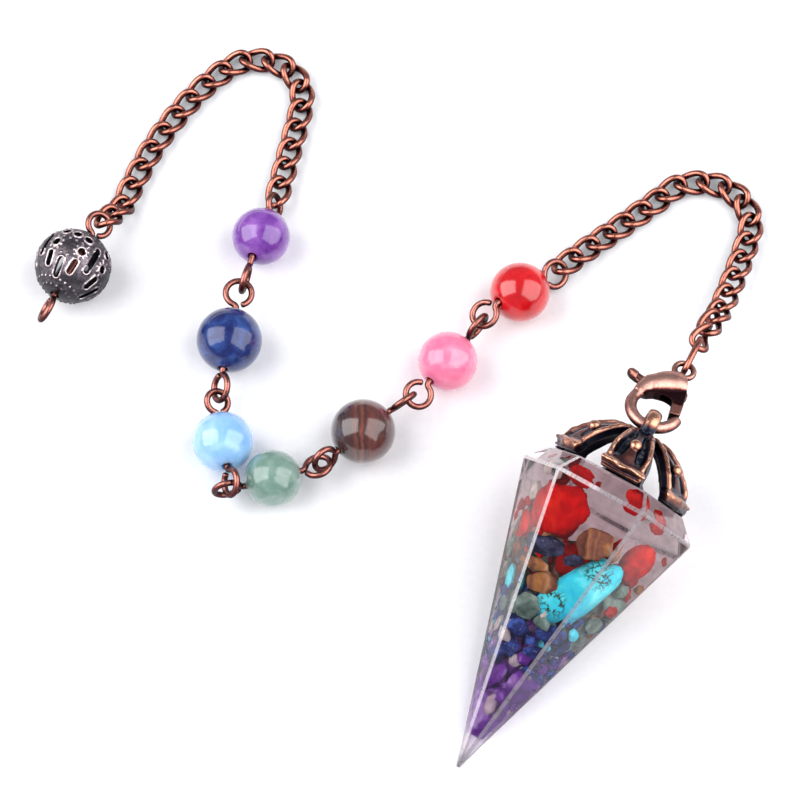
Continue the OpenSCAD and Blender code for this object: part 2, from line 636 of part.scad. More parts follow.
module at_openings(row) for (k = [0 : row[2] : stations - 1])
    rotate([0, 0, first_station + 360 * (k + row[1]) / stations]) rotate([0, 90 - row[0], 0]) children();

module filigree_ball() color([0.36, 0.33, 0.35]) laid_out()
    lie([ball_place[0], ball_place[1], ball_place[2] / 2], ball_place[3], ball_place[4])
    rotate([0, 90, 0]) {
        radius = ball_place[2] / 2;
        inside = radius - ball_wall;
        rim = (hole + rim_wire) / 2;
        difference() {
            sphere(r = radius);
            sphere(r = inside);
            cylinder(r = bead_bore, h = 3 * radius, center = true);
            for (row = round_holes) at_openings(row)
                translate([0, 0, inside - cut]) cylinder(d = hole, h = ball_wall + 2 * cut);
            for (row = long_slots) at_openings(row)
                translate([0, 0, inside - cut]) linear_extrude(height = ball_wall + 2 * cut)
                slot_shape(row[3]);
        }
        at_openings(round_holes[0]) translate([0, 0, sqrt(radius * radius - rim * rim)])
            rotate_extrude() translate([rim, 0]) circle(r = rim_wire);
    }

resin_cone();
red_jasper_chips();
tiger_eye_chips();
turquoise_chips();
aventurine_chips();
lapis_chips();
amethyst_chips();
quartz_chips();
petal_cap();
clasp_body();
clasp_lever();
jump_ring();
pendant_chain();
red_bead();
red_wire();
pink_bead();
pink_wire();
tiger_eye_bead();
tiger_eye_wire();
aventurine_bead();
aventurine_wire();
light_blue_bead();
light_blue_wire();
lapis_bead();
lapis_wire();
amethyst_bead();
amethyst_wire();
ball_chain();
filigree_ball();
ball_wire();
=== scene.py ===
"""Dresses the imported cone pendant: finer meshes, materials, a plain floor, soft light and a camera.

Lengths are millimetres until a mesh or an object is made, and angles are degrees.
"""

import random
from math import asin, copysign, cos, degrees, hypot, pi, radians, sin, sqrt, tan

import bmesh
import bpy
import numpy as np
from mathutils import Matrix, Vector, noise


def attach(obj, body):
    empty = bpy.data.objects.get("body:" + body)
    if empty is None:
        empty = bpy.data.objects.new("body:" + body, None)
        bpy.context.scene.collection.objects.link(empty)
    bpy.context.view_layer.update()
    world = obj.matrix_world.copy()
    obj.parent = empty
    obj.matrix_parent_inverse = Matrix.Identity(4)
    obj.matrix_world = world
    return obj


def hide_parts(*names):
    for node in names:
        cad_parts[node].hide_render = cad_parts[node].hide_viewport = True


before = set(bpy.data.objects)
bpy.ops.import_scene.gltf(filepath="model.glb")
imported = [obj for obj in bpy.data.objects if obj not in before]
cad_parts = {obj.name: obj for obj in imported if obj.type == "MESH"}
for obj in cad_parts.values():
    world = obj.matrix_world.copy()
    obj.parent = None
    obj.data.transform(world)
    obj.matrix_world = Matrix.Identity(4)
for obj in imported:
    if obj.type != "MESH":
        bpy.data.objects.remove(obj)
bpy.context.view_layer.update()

MM = 0.001
STRAND = "strand"
LEVER = "lever"

# Middle of the layout, which the model has at its origin
MIDDLE_X = 0.25
MIDDLE_Y = 2.32

# Floor, light and camera. A panel of light is: heading, width, height, power
FLOOR_LEVEL = -0.02
FLOOR_HALF = 900.0
SKY_COLOUR = (0.82, 0.86, 1.0, 1)
SKY_STRENGTH = 0.3
PANELS = {"left_panel": (-92, 400, 500, 2.2), "right_panel": (78, 560, 600, 2.8)}
PANEL_COLOUR = (1.0, 0.99, 0.98)
PANEL_ELEVATION = 42
PANEL_DISTANCE = 420
TARGET = (-MIDDLE_X, -MIDDLE_Y, 4.0)
CAMERA_ELEVATION = 68.0
CAMERA_DISTANCE = 450.0
CAMERA_LENS = 151.9
CAMERA_SENSOR = 36.0
NEAREST_SEEN = 10.0
FARTHEST_SEEN = 10000.0

# Resin cone: its sizes, how much its rounded edges take off, at most as a part of a ridge's distance from
# the axis, and how far under its facets the stones stay
CONE_POINT = (7.06, -50.12, 0.0)
CONE_HEADING = 59.36
FACET_ANGLE = 15.05
FACET_SLOPE = tan(radians(FACET_ANGLE))
TO_RIDGE = cos(radians(30))
SHOULDER = 40.2
CHAMFER = 2.8
BLUNT = 0.8
POINT_EDGE = 0.08
CONE_EDGE = 0.32
CONE_EDGE_SHARE = 0.35
FULL_EDGE_FROM = 2.8
EDGE_STEPS = 4
COVER = 0.2
COVER_LOW = 0.85
COVER_LOW_TO = 9.0
COVER_FROM = 22.0

# Length that a ramp of colours along the cone covers, and the resin's tint, each: distance from the
# cone's point, colour
CONE_RAMP = 50.0
RESIN_TINT = (
    (0.0, (0.93, 0.92, 0.95)), (4.0, (0.95, 0.93, 0.97)), (8.0, (0.87, 0.80, 0.93)),
    (12.0, (0.75, 0.61, 0.84)), (18.0, (0.80, 0.75, 0.84)), (27.0, (0.90, 0.87, 0.87)),
    (45.0, (0.94, 0.89, 0.895)))

# Chain links and the jump ring: half the length and width of the wire's middle line, how far it rises and
# falls, radius of the wire, its sections and their corners
CHAIN_LINK = (2.15, 1.35, 0.6, 0.445, 32, 12)
JUMP_RING = (2.8, 1.3, 0, 0.43, 48, 14)

# Bead wires: their radius, the bulge of their ends as part of it, and the bend and turn of their eyes.
# Then the beads' bores with their rounded mouths
BEAD_WIRE = 0.42
WIRE_SIDES = 14
WIRE_END = 0.6
EYE_BEND = 0.45
EYE_TURN = 334.0
EYE_STEPS = 44
BEAD_BORE = 0.65
MOUTH_ROUND = 0.12
MOUTH_DEPTH = 0.14
MOUTH_EDGE = (0.035, 0.03)
BEAD_ROWS = 44
BEAD_SIDES = 72

# Petal cap: its dome, the width of its petals and tongues by distance from the axis, how far its ribs,
# tongues and lips stand up and its hollows go in, and how far and how often this relief wanders
DOME_RADIUS = 10.1
DOME_CENTRE = 40.2
DOME_WALL = 1.0
RIM_ANGLE = 72.7
RIM_ANGLE_INSIDE = 70.7
PETALS = 6
PETAL_TURN = 5.0
PETAL_ROWS = 96
PETAL_COLUMNS = 44
PETAL_WIDTH = ((0.0, 0.0), (3.4, 1.65), (4.8, 1.95), (6.3, 2.4), (7.7, 2.75), (9.3, 2.75), (9.7, 2.7))
TONGUE_WIDTH = ((4.0, 0.3), (6.5, 0.5), (7.6, 0.5), (8.9, 1.0))
RIB_HEIGHT = 0.5
HOLLOW_DEPTH = 0.6
TONGUE_HEIGHT = 0.12
LIP_HEIGHT = 0.72
LIP_BREAK = 0.6
LIP_ANGLE = 67.0
LIP_WIDTH = 0.25
WANDER = 0.35
WANDER_SCALE = 0.9
LIP_WANDER = 1.3
LIP_WANDER_SCALE = 0.55
LIP_BREAK_SCALE = 0.33

# Nubs, loop and foot of the loop on the cap
NUB_ANGLE = 43.0
NUB_RADIUS = 0.88
NUB_FINENESS = (16, 24)
HUB = 2.7
LOOP_LEVEL = 51.2
LOOP_TURN = 11.0
LOOP_MIDDLE = 1.95
LOOP_HALF_THICK = 0.56
LOOP_HALF_WIDE = 0.95
LOOP_STEPS = 64
LOOP_SIDES = 24
FOOT_SIZE = (1.9, 1.5, 1.0, 1.0)
FOOT_DEPTH = 0.45

# Clasp: where it lies, half its slot, half its slab, the thinnest wall beside the slot, the stretch that
# is crowned, where its hook leaves its body, and the spine of the crowned body, each: across, along, half
# width, half thickness
CLASP_PLACE = (32.36, -7.42, 13.3)
CLASP_HEADING = 61.2
CLASP_TILT = 20.0
SLOT_HALF = 0.56
SLAB_HALF = 1.25
CHEEK = 0.17
CROWN_FROM = 3.6
CROWN_TO = 10.6
HOOK_JOINT = (-2.4, 2.9, 5.8)
CLASP_SPINE = (
    (1.45, 9.0, 1.4, 1.15), (0.1, 8.6, 1.75, 1.5), (-1.5, 7.75, 1.85, 1.5), (-2.75, 6.5, 1.5, 1.35),
    (-3.6, 5.1, 1.05, 1.0), (-3.8, 3.4, 0.8, 0.8))

# Thumb tab of the clasp's lever
TAB_FROM = -3.7
TAB_MIDDLE = 6.5
TAB_HALF_WIDE = 0.66
TAB_HALF_THICK = 0.85
TAB_ROUND_FROM = -5.5
TAB_END = -6.35
TAB_LIFT = 0.45

# Openings of the pierced ball, each: latitude from the wire's middle plane, stations beyond the first,
# stations to the next, length along the wire, grains round it. Then the grains and the rows of grains
STATIONS = 8
FIRST_STATION = 152.0
SLOT_WIDE = 0.8
HOLE = 1.1
RIM_WIRE = 0.15
RIM_STEPS = 32
RIM_SIDES = 8
OPENINGS = (
    (3, 0, 1, HOLE, 9), (30, 0, 1, HOLE, 0), (31, 0.5, 2, HOLE, 0), (-25, 0, 1, 2.2, 0),
    (-35, 0.5, 2, 2.9, 0), (2, 1.5, 2, 4.0, 0))
GRAIN = 0.15
GRAIN_CIRCLE = 0.98
ROW_GRAIN = 0.17
ROW_STEP = 0.9
ROW_LATITUDES = (-12, 17, 44, -53, -66)
GRAIN_FINENESS = (6, 8)

# How each casting is melted: grain, passes of smoothing. Then later passes, and the largest share of a
# casting's corners in a loose part that is taken off
CAP_MELT = (0.127, 2)
BALL_MELT = (0.099, 1)
CLASP_MELT = (0.095, 3)
LEVER_MELT = (0.08, 4)
JOINT_PASSES = 45
CLASP_PASSES = 16
LEVER_PASSES = 8
CRUMB = 0.02

# How stones are worn, each: times divided, passes of smoothing, growth, roughness. Then how often their
# lumps follow one another, coarse and fine, and the height of the fine ones as part of the coarse
STONE_WEAR = (3, 7, 1.17, 0.14)
TABLET_WEAR = (1, 1, 1.0, 0.06)
SPLINTER_WEAR = (2, 3, 1.1, 0.2)
LUMPS = 0.7
FINE_LUMPS = 2.4
FINE_SHARE = 0.35
TABLET_FINENESS = (30, 48)

# Stones that are worn to blunt tablets, each: distance from the cone's point, place to the right, growth
# of the length, width and height, shift along the cone, to the left and up, bluntness, dip of the right end
TABLETS = (
    (28.5, 3.2, (1.28, 1.22, 1.3), (-0.5, 0.5, 0.0), 2.6, 8.0),
    (35.2, 6.6, (1.12, 1.12, 1.4), (0.0, 0.2, 0.0), 2.3, 0.0),
)

# Small stones between the large ones, each: kind, number, first and last distance from the cone's point,
# smallest and largest size. Then the seed of the random draws, the corners of a stone before its loose
# ones are left out, its flatness, and the part of its size that it stays inside the cone
SPLINTERS = (
    ("red_jasper", 22, 30.5, 38.0, 0.8, 2.6),
    ("tiger_eye", 40, 24.5, 35.0, 1.0, 3.2),
    ("aventurine", 46, 22.0, 33.0, 1.0, 3.4),
    ("turquoise", 5, 17.0, 27.0, 0.8, 1.6),
    ("lapis", 72, 15.0, 26.5, 0.9, 3.2),
    ("amethyst", 84, 6.8, 19.5, 0.8, 3.2),
    ("quartz", 26, 9.0, 24.0, 0.6, 2.2),
)
SPLINTER_SEED = 20
SPLINTER_POINTS = 11
SPLINTER_WIDE = 0.75
SPLINTER_HIGH = 0.6
SPLINTER_ROOM = 0.35

# How far round and under a large stone's middle it may not be hidden, how much larger the small stones
# on the underside are, and the clear part of the cone that has none
HIDING_SHARE = 0.75
HIDING_DEPTH = 0.8
BEHIND = 1.5
CLEAR_FROM = 33.5
CLEAR_LEFT = -1.5
CLEAR_RIGHT = 7.5

# Beads, each: across, away, diameter, heading and tilt of the wire, then its two eyes, each: heading,
# tilt, roll, length of the neck, radius of the ring
BEADS = {
    "ball": (-44.2, 19.1, 10.1, 63, -5, (-117, -8, 65, 0.6, 1.6), (63, -5, 30, 0.6, 1.6)),
    "amethyst": (-18.9, 24.0, 7.9, -107, 18, (73, -18, 60, 0.6, 1.5), (-107, -14, 88, 1.4, 1.75)),
    "lapis": (-22.9, 8.5, 8.8, -100, 3, (82, 2, 5, 0.9, 1.75), (-97, -18, 55, 0.7, 1.75)),
    "light_blue": (-23.5, -6.0, 8.1, -80, 13, (95, 8, 25, 0.6, 1.5), (-77, 4, 60, 0.6, 1.7)),
    "aventurine": (-16.8, -11.1, 7.6, 15, 3, (-168, 6, 95, 0.7, 1.7), (14, 8, -25, 0.65, 1.7)),
    "tiger_eye": (-4.9, -4.6, 8.6, 40, 0, (-143, 4, -65, 0.55, 1.6), (36, 0, -75, 0.75, 1.75)),
    "pink": (6.4, 5.6, 8.0, 52, -8, (-129, -2, -15, 0.7, 1.7), (50, 18, 90, 0.8, 1.75)),
    "red": (16.2, 15.7, 8.1, 36, -22, (-142, -18, 8, 0.7, 1.7), (36, -12, 40, 0.6, 1.75)),
}

# Stones of the beads, each: middle, light and deep colour, size of the clouds, roughness, how much light
# sinks in, its colour and how far it goes
BEAD_STONES = {
    "red": (
        (0.58, 0.004, 0.008), (0.74, 0.012, 0.014), (0.42, 0.003, 0.006),
        4.0, 0.08, 0.35, (1.0, 0.12, 0.12), 1.6),
    "pink": (
        (0.94, 0.235, 0.39), (1.0, 0.34, 0.49), (0.9, 0.18, 0.34),
        3.0, 0.12, 0.5, (1.0, 0.5, 0.6), 2.0),
    "tiger_eye": (
        (0.14, 0.035, 0.022), (0.3, 0.08, 0.05), (0.05, 0.02, 0.02),
        3.0, 0.1, 0.15, (1.0, 0.4, 0.3), 1.0),
    "aventurine": (
        (0.185, 0.30, 0.25), (0.27, 0.39, 0.34), (0.13, 0.235, 0.19),
        3.0, 0.1, 0.5, (0.6, 1.0, 0.8), 2.0),
    "light_blue": (
        (0.31, 0.56, 0.95), (0.42, 0.66, 1.0), (0.24, 0.48, 0.9),
        4.0, 0.1, 0.6, (0.5, 0.8, 1.0), 2.5),
    "lapis": ((0.012, 0.028, 0.15), (0.03, 0.075, 0.28), (0.008, 0.014, 0.09), 2.0, 0.1),
    "amethyst": (
        (0.21, 0.06, 0.38), (0.34, 0.14, 0.5), (0.14, 0.025, 0.29),
        3.0, 0.08, 0.4, (0.7, 0.3, 1.0), 1.8),
}

# Belts of the tiger's-eye bead from left to right, each: place, colour
BEAD_BELTS = (
    (0.05, (0.10, 0.07, 0.07)), (0.2, (0.05, 0.025, 0.028)), (0.34, (0.075, 0.028, 0.026)),
    (0.4, (0.17, 0.05, 0.035)), (0.44, (0.05, 0.02, 0.02)), (0.5, (0.21, 0.06, 0.04)),
    (0.54, (0.06, 0.02, 0.02)), (0.62, (0.15, 0.038, 0.028)), (0.8, (0.09, 0.03, 0.026)),
    (0.95, (0.1, 0.05, 0.05)))

# Stones in the resin, each: middle, light and deep colour, size of the clouds. Then their roughness, and
# the bands of the tiger's-eye stones, each: place, colour
SUNK_STONES = {
    "red_jasper": ((0.45, 0.003, 0.003), (0.64, 0.018, 0.008), (0.24, 0.003, 0.003), 3.0),
    "tiger_eye": ((0.17, 0.05, 0.02), (0.5, 0.2, 0.06), (0.03, 0.012, 0.01), 1.8),
    "turquoise": ((0.05, 0.62, 0.74), (0.18, 0.80, 0.88), (0.02, 0.48, 0.70), 3.0),
    "aventurine": ((0.15, 0.21, 0.18), (0.33, 0.42, 0.37), (0.05, 0.085, 0.07), 2.2),
    "lapis": ((0.022, 0.035, 0.15), (0.06, 0.13, 0.46), (0.01, 0.012, 0.06), 1.8),
    "amethyst": ((0.15, 0.035, 0.27), (0.46, 0.32, 0.56), (0.045, 0.002, 0.13), 3.0),
    "quartz": ((0.42, 0.37, 0.34), (0.62, 0.57, 0.50), (0.24, 0.18, 0.22), 1.8),
}
SUNK_GLOSS = 0.3
SUNK_BANDS = (
    (0.3, (0.05, 0.02, 0.02)), (0.42, (0.15, 0.05, 0.03)), (0.5, (0.22, 0.09, 0.06)),
    (0.58, (0.40, 0.17, 0.05)), (0.66, (0.40, 0.24, 0.175)))

# The two ends of the turquoise bar, along the cone, where dark veins gather
VEINED_ENDS = ((31.0, -4.4, 5.3), (25.1, -1.0, 4.8))


def spin(angle, axis):
    """Matrix that turns about an axis."""
    return Matrix.Rotation(radians(angle), 4, axis)


def lie(at, heading, tilt):
    """Matrix that turns X to a heading and tilt and moves to a place."""
    return Matrix.Translation(Vector(at)) @ spin(heading, "Z") @ spin(-tilt, "Y")


def laid_out(at):
    """A place of the layout in the model's frame."""
    return Vector((at[0] - MIDDLE_X, at[1] - MIDDLE_Y, at[2]))


def toward(heading, tilt):
    """Unit vector of a heading and tilt."""
    return lie((0, 0, 0), heading, tilt).to_3x3() @ Vector((1, 0, 0))


ALONG_CONE = lie(laid_out(CONE_POINT), CONE_HEADING, FACET_ANGLE)
ON_CAP = ALONG_CONE @ spin(90, "Y") @ spin(180, "Z")
ON_CLASP = lie(laid_out(CLASP_PLACE), CLASP_HEADING, -CLASP_TILT) @ spin(-90, "Z")


def rise(value, low, high):
    """Smooth rise from 0 to 1 between two values."""
    t = min(1.0, max(0.0, (value - low) / (high - low)))
    return t * t * (3 - 2 * t)


def hump(value, middle, half):
    """Rounded hump of height 1 about a value."""
    t = abs(value - middle) / half
    return cos(pi / 2 * t) if t < 1 else 0.0


def between(rows, value):
    """Value read from rows of place and value, with straight lines between them."""
    return float(np.interp(value, [row[0] for row in rows], [row[1] for row in rows]))


class Paint:
    """A material and short ways to add nodes to it. Places are in millimetres."""

    def __init__(self, name, **values):
        self.material = bpy.data.materials.new(name)
        self.material.use_nodes = True
        self.tree = self.material.node_tree
        self.shader = self.tree.nodes["Principled BSDF"]
        self.output = self.tree.nodes["Material Output"]
        self.colour = None
        self.set({key.replace("_", " "): value for key, value in values.items()})
        where = self.node("ShaderNodeTexCoord").outputs["Object"]
        self.at = self.node("ShaderNodeVectorMath", {0: where, 3: 1 / MM}, operation="SCALE").outputs[0]

    def fill(self, node, values):
        """Sets or links inputs of a node."""
        for key, value in values.items():
            if isinstance(value, bpy.types.NodeSocket):
                self.tree.links.new(value, node.inputs[key])
            elif isinstance(value, tuple) and len(value) == 3 and node.inputs[key].type == "RGBA":
                node.inputs[key].default_value = (*value, 1.0)
            else:
                node.inputs[key].default_value = value

    def set(self, values):
        """Sets or links inputs of the surface shader."""
        self.fill(self.shader, values)

    def coloured(self, colour):
        """Gives the surface a colour."""
        self.colour = colour
        self.set({"Base Color": colour})
        return self

    def node(self, kind, values=None, **settings):
        """Adds a node."""
        node = self.tree.nodes.new(kind)
        for key, value in settings.items():
            setattr(node, key, value)
        self.fill(node, values or {})
        return node

    def math(self, operation, first, second):
        """An operation on two values."""
        return self.node("ShaderNodeMath", {0: first, 1: second}, operation=operation).outputs[0]

    def plus(self, first, second):
        """The sum of two values."""
        return self.math("ADD", first, second)

    def times(self, first, second):
        """The product of two values."""
        return self.math("MULTIPLY", first, second)

    def swing(self, value, middle, reach):
        """How far a value is from a middle one, times a reach."""
        return self.times(self.math("SUBTRACT", value, middle), reach)

    def vector(self, operation, second, output):
        """One output of an operation on the place and a second vector."""
        return self.node("ShaderNodeVectorMath", {0: self.at, 1: second}, operation=operation).outputs[output]

    def across(self):
        """Place along X."""
        return self.node("ShaderNodeSeparateXYZ", {0: self.at}).outputs[0]

    def noise(self, size, detail=3.0, rough=0.5, warp=0.0, stretch=None, turn=0.0):
        """Soft noise from 0 to 1 with lumps of a size, stretched along a heading, across it and upward."""
        at = self.at
        if stretch:
            values = {"Vector": at, "Rotation": (0, 0, radians(turn)), "Scale": stretch}
            at = self.node("ShaderNodeMapping", values, vector_type="TEXTURE").outputs[0]
        values = {"Vector": at, "Scale": 1 / size, "Detail": detail, "Roughness": rough, "Distortion": warp}
        return self.node("ShaderNodeTexNoise", values).outputs[0]

    def ramp(self, value, *stops):
        """Colours or greys along a value, each stop: place, colour."""
        node = self.node("ShaderNodeValToRGB", {0: value})
        elements = node.color_ramp.elements
        while len(elements) < len(stops):
            elements.new(0.5)
        for element, (place, colour) in zip(elements, stops):
            element.position = place
            element.color = (*colour, 1) if isinstance(colour, tuple) else (colour, colour, colour, 1)
        return node.outputs[0]

    def away(self, point):
        """Distance from a point."""
        return self.vector("DISTANCE", tuple(point), 1)

    def ramp_along_cone(self, along, *stops):
        """Colours or greys by distance from the cone's point, each stop: distance, colour."""
        stops = [(place / CONE_RAMP, colour) for place, colour in stops]
        return self.ramp(self.math("DIVIDE", along, CONE_RAMP), *stops)

    def mix(self, part, first, second, blend="MIX"):
        """A mix of two colours."""
        return self.node(
            "ShaderNodeMix", {0: part, 6: first, 7: second}, data_type="RGBA", blend_type=blend
        ).outputs[2]

    def shaded(self, colour, shade):
        """A colour times a shade."""
        return self.mix(1.0, colour, shade, "MULTIPLY")

    def hollow(self, reach):
        """How open the surface is, from 0 in hollows to 1."""
        return self.node(
            "ShaderNodeAmbientOcclusion", {"Distance": reach * MM}, samples=6, only_local=True
        ).outputs["AO"]

    def near(self, point, inner, outer):
        """A value of 1 close to a point that falls to 0 away from it."""
        return self.ramp(self.math("DIVIDE", self.away(point), 10.0), (inner / 10, 1.0), (outer / 10, 0.0))

    def bump(self, height, depth, strength):
        """Bends the shading by a height, of which 1 is the depth."""
        bump = self.node("ShaderNodeBump", {"Height": height, "Distance": depth * MM, "Strength": strength})
        self.set({"Normal": bump.outputs[0]})


def antique_metal(name, bright, middle, dark, opens, reach, rough, tarnish, marked=False, coat=0.0):
    """Cast or drawn metal, dark with patina in its hollows, painted darker on its sides as painted shade, and
    worn bright where it stands proud.
    """
    paint = Paint(name, Metallic=1.0, Coat_Weight=coat, Coat_Roughness=0.18)
    low, high = opens
    worn = paint.hollow(reach)
    if marked:
        worn = paint.times(worn, paint.node("ShaderNodeAttribute", attribute_name="proud").outputs["Fac"])
    # Painted shade: surfaces that face sideways or down are painted darker and those that face up stay
    # lighter, standing in for the dark surroundings their sides reflect; worn carries this along with the
    # patina and wear
    side = paint.node("ShaderNodeTexCoord").outputs["Normal"]
    facing_up_for_painted_shade = paint.node("ShaderNodeSeparateXYZ", {0: side}).outputs[2]
    worn = paint.times(worn, paint.ramp(facing_up_for_painted_shade, (0.1, 0.35), (0.9, 1.0)))
    spots = paint.plus(paint.noise(0.9, 4.0, 0.6, 0.4), paint.noise(0.28, 3.0, 0.6))
    worn = paint.plus(worn, paint.swing(spots, 1.0, tarnish))
    colour = paint.ramp(worn, (low, dark), ((low + high) / 2, middle), (high, bright))
    paint.coloured(paint.shaded(colour, paint.ramp(paint.noise(2.3, 2.0), (0.35, 0.8), (0.65, 1.0))))
    fine = paint.noise(0.12, 3.0, 0.6)
    dull = paint.ramp(worn, (low, min(1.0, rough + 0.15)), (high, rough))
    paint.set({"Roughness": paint.plus(dull, paint.swing(fine, 0.5, 0.25))})
    lumps = paint.times(paint.noise(0.6, 2.0), 0.6)
    paint.bump(paint.plus(lumps, paint.times(fine, 0.4)), 0.08, 0.8)
    return paint.material


def clear_resin():
    """Clear cast resin, lilac near its point and grey mauve above, streaked, scratched and wavy."""
    paint = Paint("clear_resin", Roughness=0.03, IOR=1.5, Transmission_Weight=1.0)
    drift = paint.swing(paint.noise(3.0, 3.0, 0.6), 0.5, 7.0)
    along = paint.plus(paint.away(laid_out(CONE_POINT)), drift)
    tint = paint.ramp_along_cone(along, *RESIN_TINT)
    streaks = paint.noise(1.0, 3.0, 0.6, 0.3, (9.0, 1.6, 1.6), CONE_HEADING)
    tint = paint.shaded(tint, paint.ramp(streaks, (0.35, 0.82), (0.6, 1.0)))
    pours = paint.noise(1.0, 3.0, 0.6, 0.5, (1.5, 9.0, 3.0), CONE_HEADING)
    poured = paint.shaded(tint, paint.ramp(pours, (0.36, 0.84), (0.62, 1.14)))
    tint = paint.mix(paint.ramp_along_cone(along, (27.5, 0.0), (34.0, 1.0)), tint, poured)
    scratches = paint.noise(1.0, 3.0, 0.6, 0.0, (4.0, 0.12, 0.12), CONE_HEADING)
    cloudy = paint.ramp_along_cone(along, (5.0, 0.5), (15.0, 0.4), (21.0, 0.2), (32.5, 0.05))
    haze = paint.shaded(paint.ramp(paint.noise(3.5, 4.0, 0.6), (0.35, 0.4), (0.7, 1.0)), cloudy)
    worn = paint.ramp(scratches, (0.6, 0.012), (0.85, 0.07))
    paint.coloured(tint)
    paint.set({"Roughness": paint.plus(worn, haze)})
    paint.bump(paint.noise(5.0, 2.0), 0.06, 0.35)
    passing = paint.node("ShaderNodeBsdfTransparent", {"Color": tint})
    lamp = paint.node("ShaderNodeLightPath").outputs["Is Shadow Ray"]
    both = paint.node("ShaderNodeMixShader", {0: lamp, 1: paint.shader.outputs[0], 2: passing.outputs[0]})
    depth = paint.node("ShaderNodeVolumeAbsorption", {"Color": (0.55, 0.38, 0.44), "Density": 36.0})
    paint.fill(paint.output, {"Surface": both.outputs[0], "Volume": depth.outputs[0]})
    return paint.material


def scuffed_resin_with_painted_light():
    """The resin's rounded edges: scuffed, pale on the left from scuffing and a painted highlight, darker on
    the right from painted shade, and darkened at the point by painted shade.
    """
    paint = Paint("scuffed_resin_edges_with_painted_light", IOR=1.5, Transmission_Weight=0.6, Specular_IOR_Level=0.2)
    # Painted highlight and painted shade: edges to the left of the cone's point are painted pale, for a
    # highlight as well as frosted scuffs, and edges to its right are painted dark grey as shade
    to_left = toward(CONE_HEADING + 90, 0)
    left = paint.vector("DOT_PRODUCT", tuple(to_left), 1)
    left = paint.math("DIVIDE", paint.math("SUBTRACT", left, laid_out(CONE_POINT).dot(to_left)), 10.0)
    tint = paint.ramp(left, (0.0, (0.4, 0.36, 0.39)), (0.06, (0.88, 0.83, 0.86)), (0.5, (0.93, 0.91, 0.93)))
    # Painted shade: the edges are painted darker toward the cone's point
    tint = paint.shaded(tint, paint.ramp_along_cone(paint.away(laid_out(CONE_POINT)), (0.5, 0.7), (3.0, 1.0)))
    scuffs = paint.noise(1.0, 4.0, 0.7, 0.0, (2.5, 0.4, 0.4), CONE_HEADING)
    paint.coloured(paint.shaded(tint, paint.ramp(scuffs, (0.35, 0.85), (0.6, 1.05))))
    paint.set({"Roughness": paint.ramp(scuffs, (0.35, 0.2), (0.65, 0.5))})
    paint.bump(scuffs, 0.01, 0.3)
    return paint.material


def stone(name, base, light, deep, size, gloss):
    """Stone clouded between three colours, with a fine grain."""
    paint = Paint(name, Roughness=gloss, IOR=1.5)
    paint.coloured(paint.ramp(paint.noise(size, 5.0, 0.6, 0.6), (0.32, deep), (0.5, base), (0.68, light)))
    fine = paint.noise(0.25, 4.0, 0.6)
    paint.set({"Roughness": paint.ramp(fine, (0.3, gloss * 0.6), (0.75, gloss * 2.0))})
    paint.bump(fine, 0.01, 0.4)
    return paint


def bead_stone(name, base, light, deep, size, gloss, through=0.0, glow=None, reach=0.0):
    """Polished stone, into which light sinks a little."""
    paint = stone(name, base, light, deep, size, gloss)
    paint.set({"Coat Weight": 0.8, "Coat Roughness": 0.17})
    if through:
        paint.set({"Subsurface Weight": through, "Subsurface Radius": glow, "Subsurface Scale": reach * MM})
    return paint


def sunk_stone(name, base, light, deep, size):
    """Stone sunk in resin, which takes away its shine."""
    paint = stone(name, base, light, deep, size, SUNK_GLOSS)
    paint.set({"Specular IOR Level": 0.0})
    return paint


def with_flecks(paint, size, colour, start, end):
    """Lays small flecks over a stone's colour."""
    spots = paint.ramp(paint.noise(size, 4.0, 0.75), (start, 0.0), (end, 1.0))
    return paint.coloured(paint.mix(spots, paint.colour, colour))


def with_shade(paint, first, last, colour):
    """Turns a stone darker between two distances from the cone's point."""
    along = paint.away(laid_out(CONE_POINT))
    shade = paint.ramp_along_cone(along, (first, (1.0, 1.0, 1.0)), (last, colour))
    return paint.coloured(paint.shaded(paint.colour, shade))


def with_veins(paint, size, width, colour, places, inner, outer):
    """Lays thin dark veins over a stone near some places."""
    drift = paint.node("ShaderNodeTexNoise", {"Vector": paint.at, "Scale": 1.4, "Detail": 4.0}).outputs[1]
    cells = {"Vector": paint.vector("ADD", drift, 0), "Scale": 1 / size}
    edges = paint.node("ShaderNodeTexVoronoi", cells, feature="DISTANCE_TO_EDGE").outputs["Distance"]
    line = paint.ramp(edges, (width * 0.4, 1.0), (width, 0.0))
    line = paint.times(line, paint.ramp(paint.noise(1.1, 3.0, 0.7), (0.46, 0.0), (0.52, 1.0)))
    first, *others = [paint.near(place, inner, outer) for place in places]
    for other in others:
        first = paint.math("MAXIMUM", first, other)
    return paint.coloured(paint.mix(paint.times(line, first), paint.colour, colour))


def with_bands(paint, size, warp, *stops):
    """Lays broad upright bands with a fine grain over a stone."""
    drift = paint.times(paint.noise(4.0, 3.0), warp)
    wave = {"W": paint.plus(paint.math("DIVIDE", paint.across(), size), drift), "Scale": 1.0, "Detail": 2.0}
    wave = paint.node("ShaderNodeTexNoise", wave, noise_dimensions="1D").outputs[0]
    grain = paint.noise(0.4, 4.0, 0.6, 0.6, (0.35, 1.0, 1.0))
    return paint.coloured(paint.shaded(paint.ramp(wave, *stops), paint.ramp(grain, (0.3, 0.65), (0.7, 1.1))))


def with_belts(paint, middle, half, warp, *stops):
    """Lays broad upright belts over a bead, from its left side to its right."""
    part = paint.math("DIVIDE", paint.math("SUBTRACT", paint.across(), middle - half), 2 * half)
    drift = paint.swing(paint.noise(2.5, 4.0, 0.6), 0.5, warp)
    belts = paint.ramp(paint.plus(part, drift), *stops)
    grain = paint.noise(0.5, 4.0, 0.6, 0.0, (0.5, 3.0, 3.0))
    return paint.coloured(paint.shaded(belts, paint.ramp(grain, (0.3, 0.6), (0.7, 1.2))))


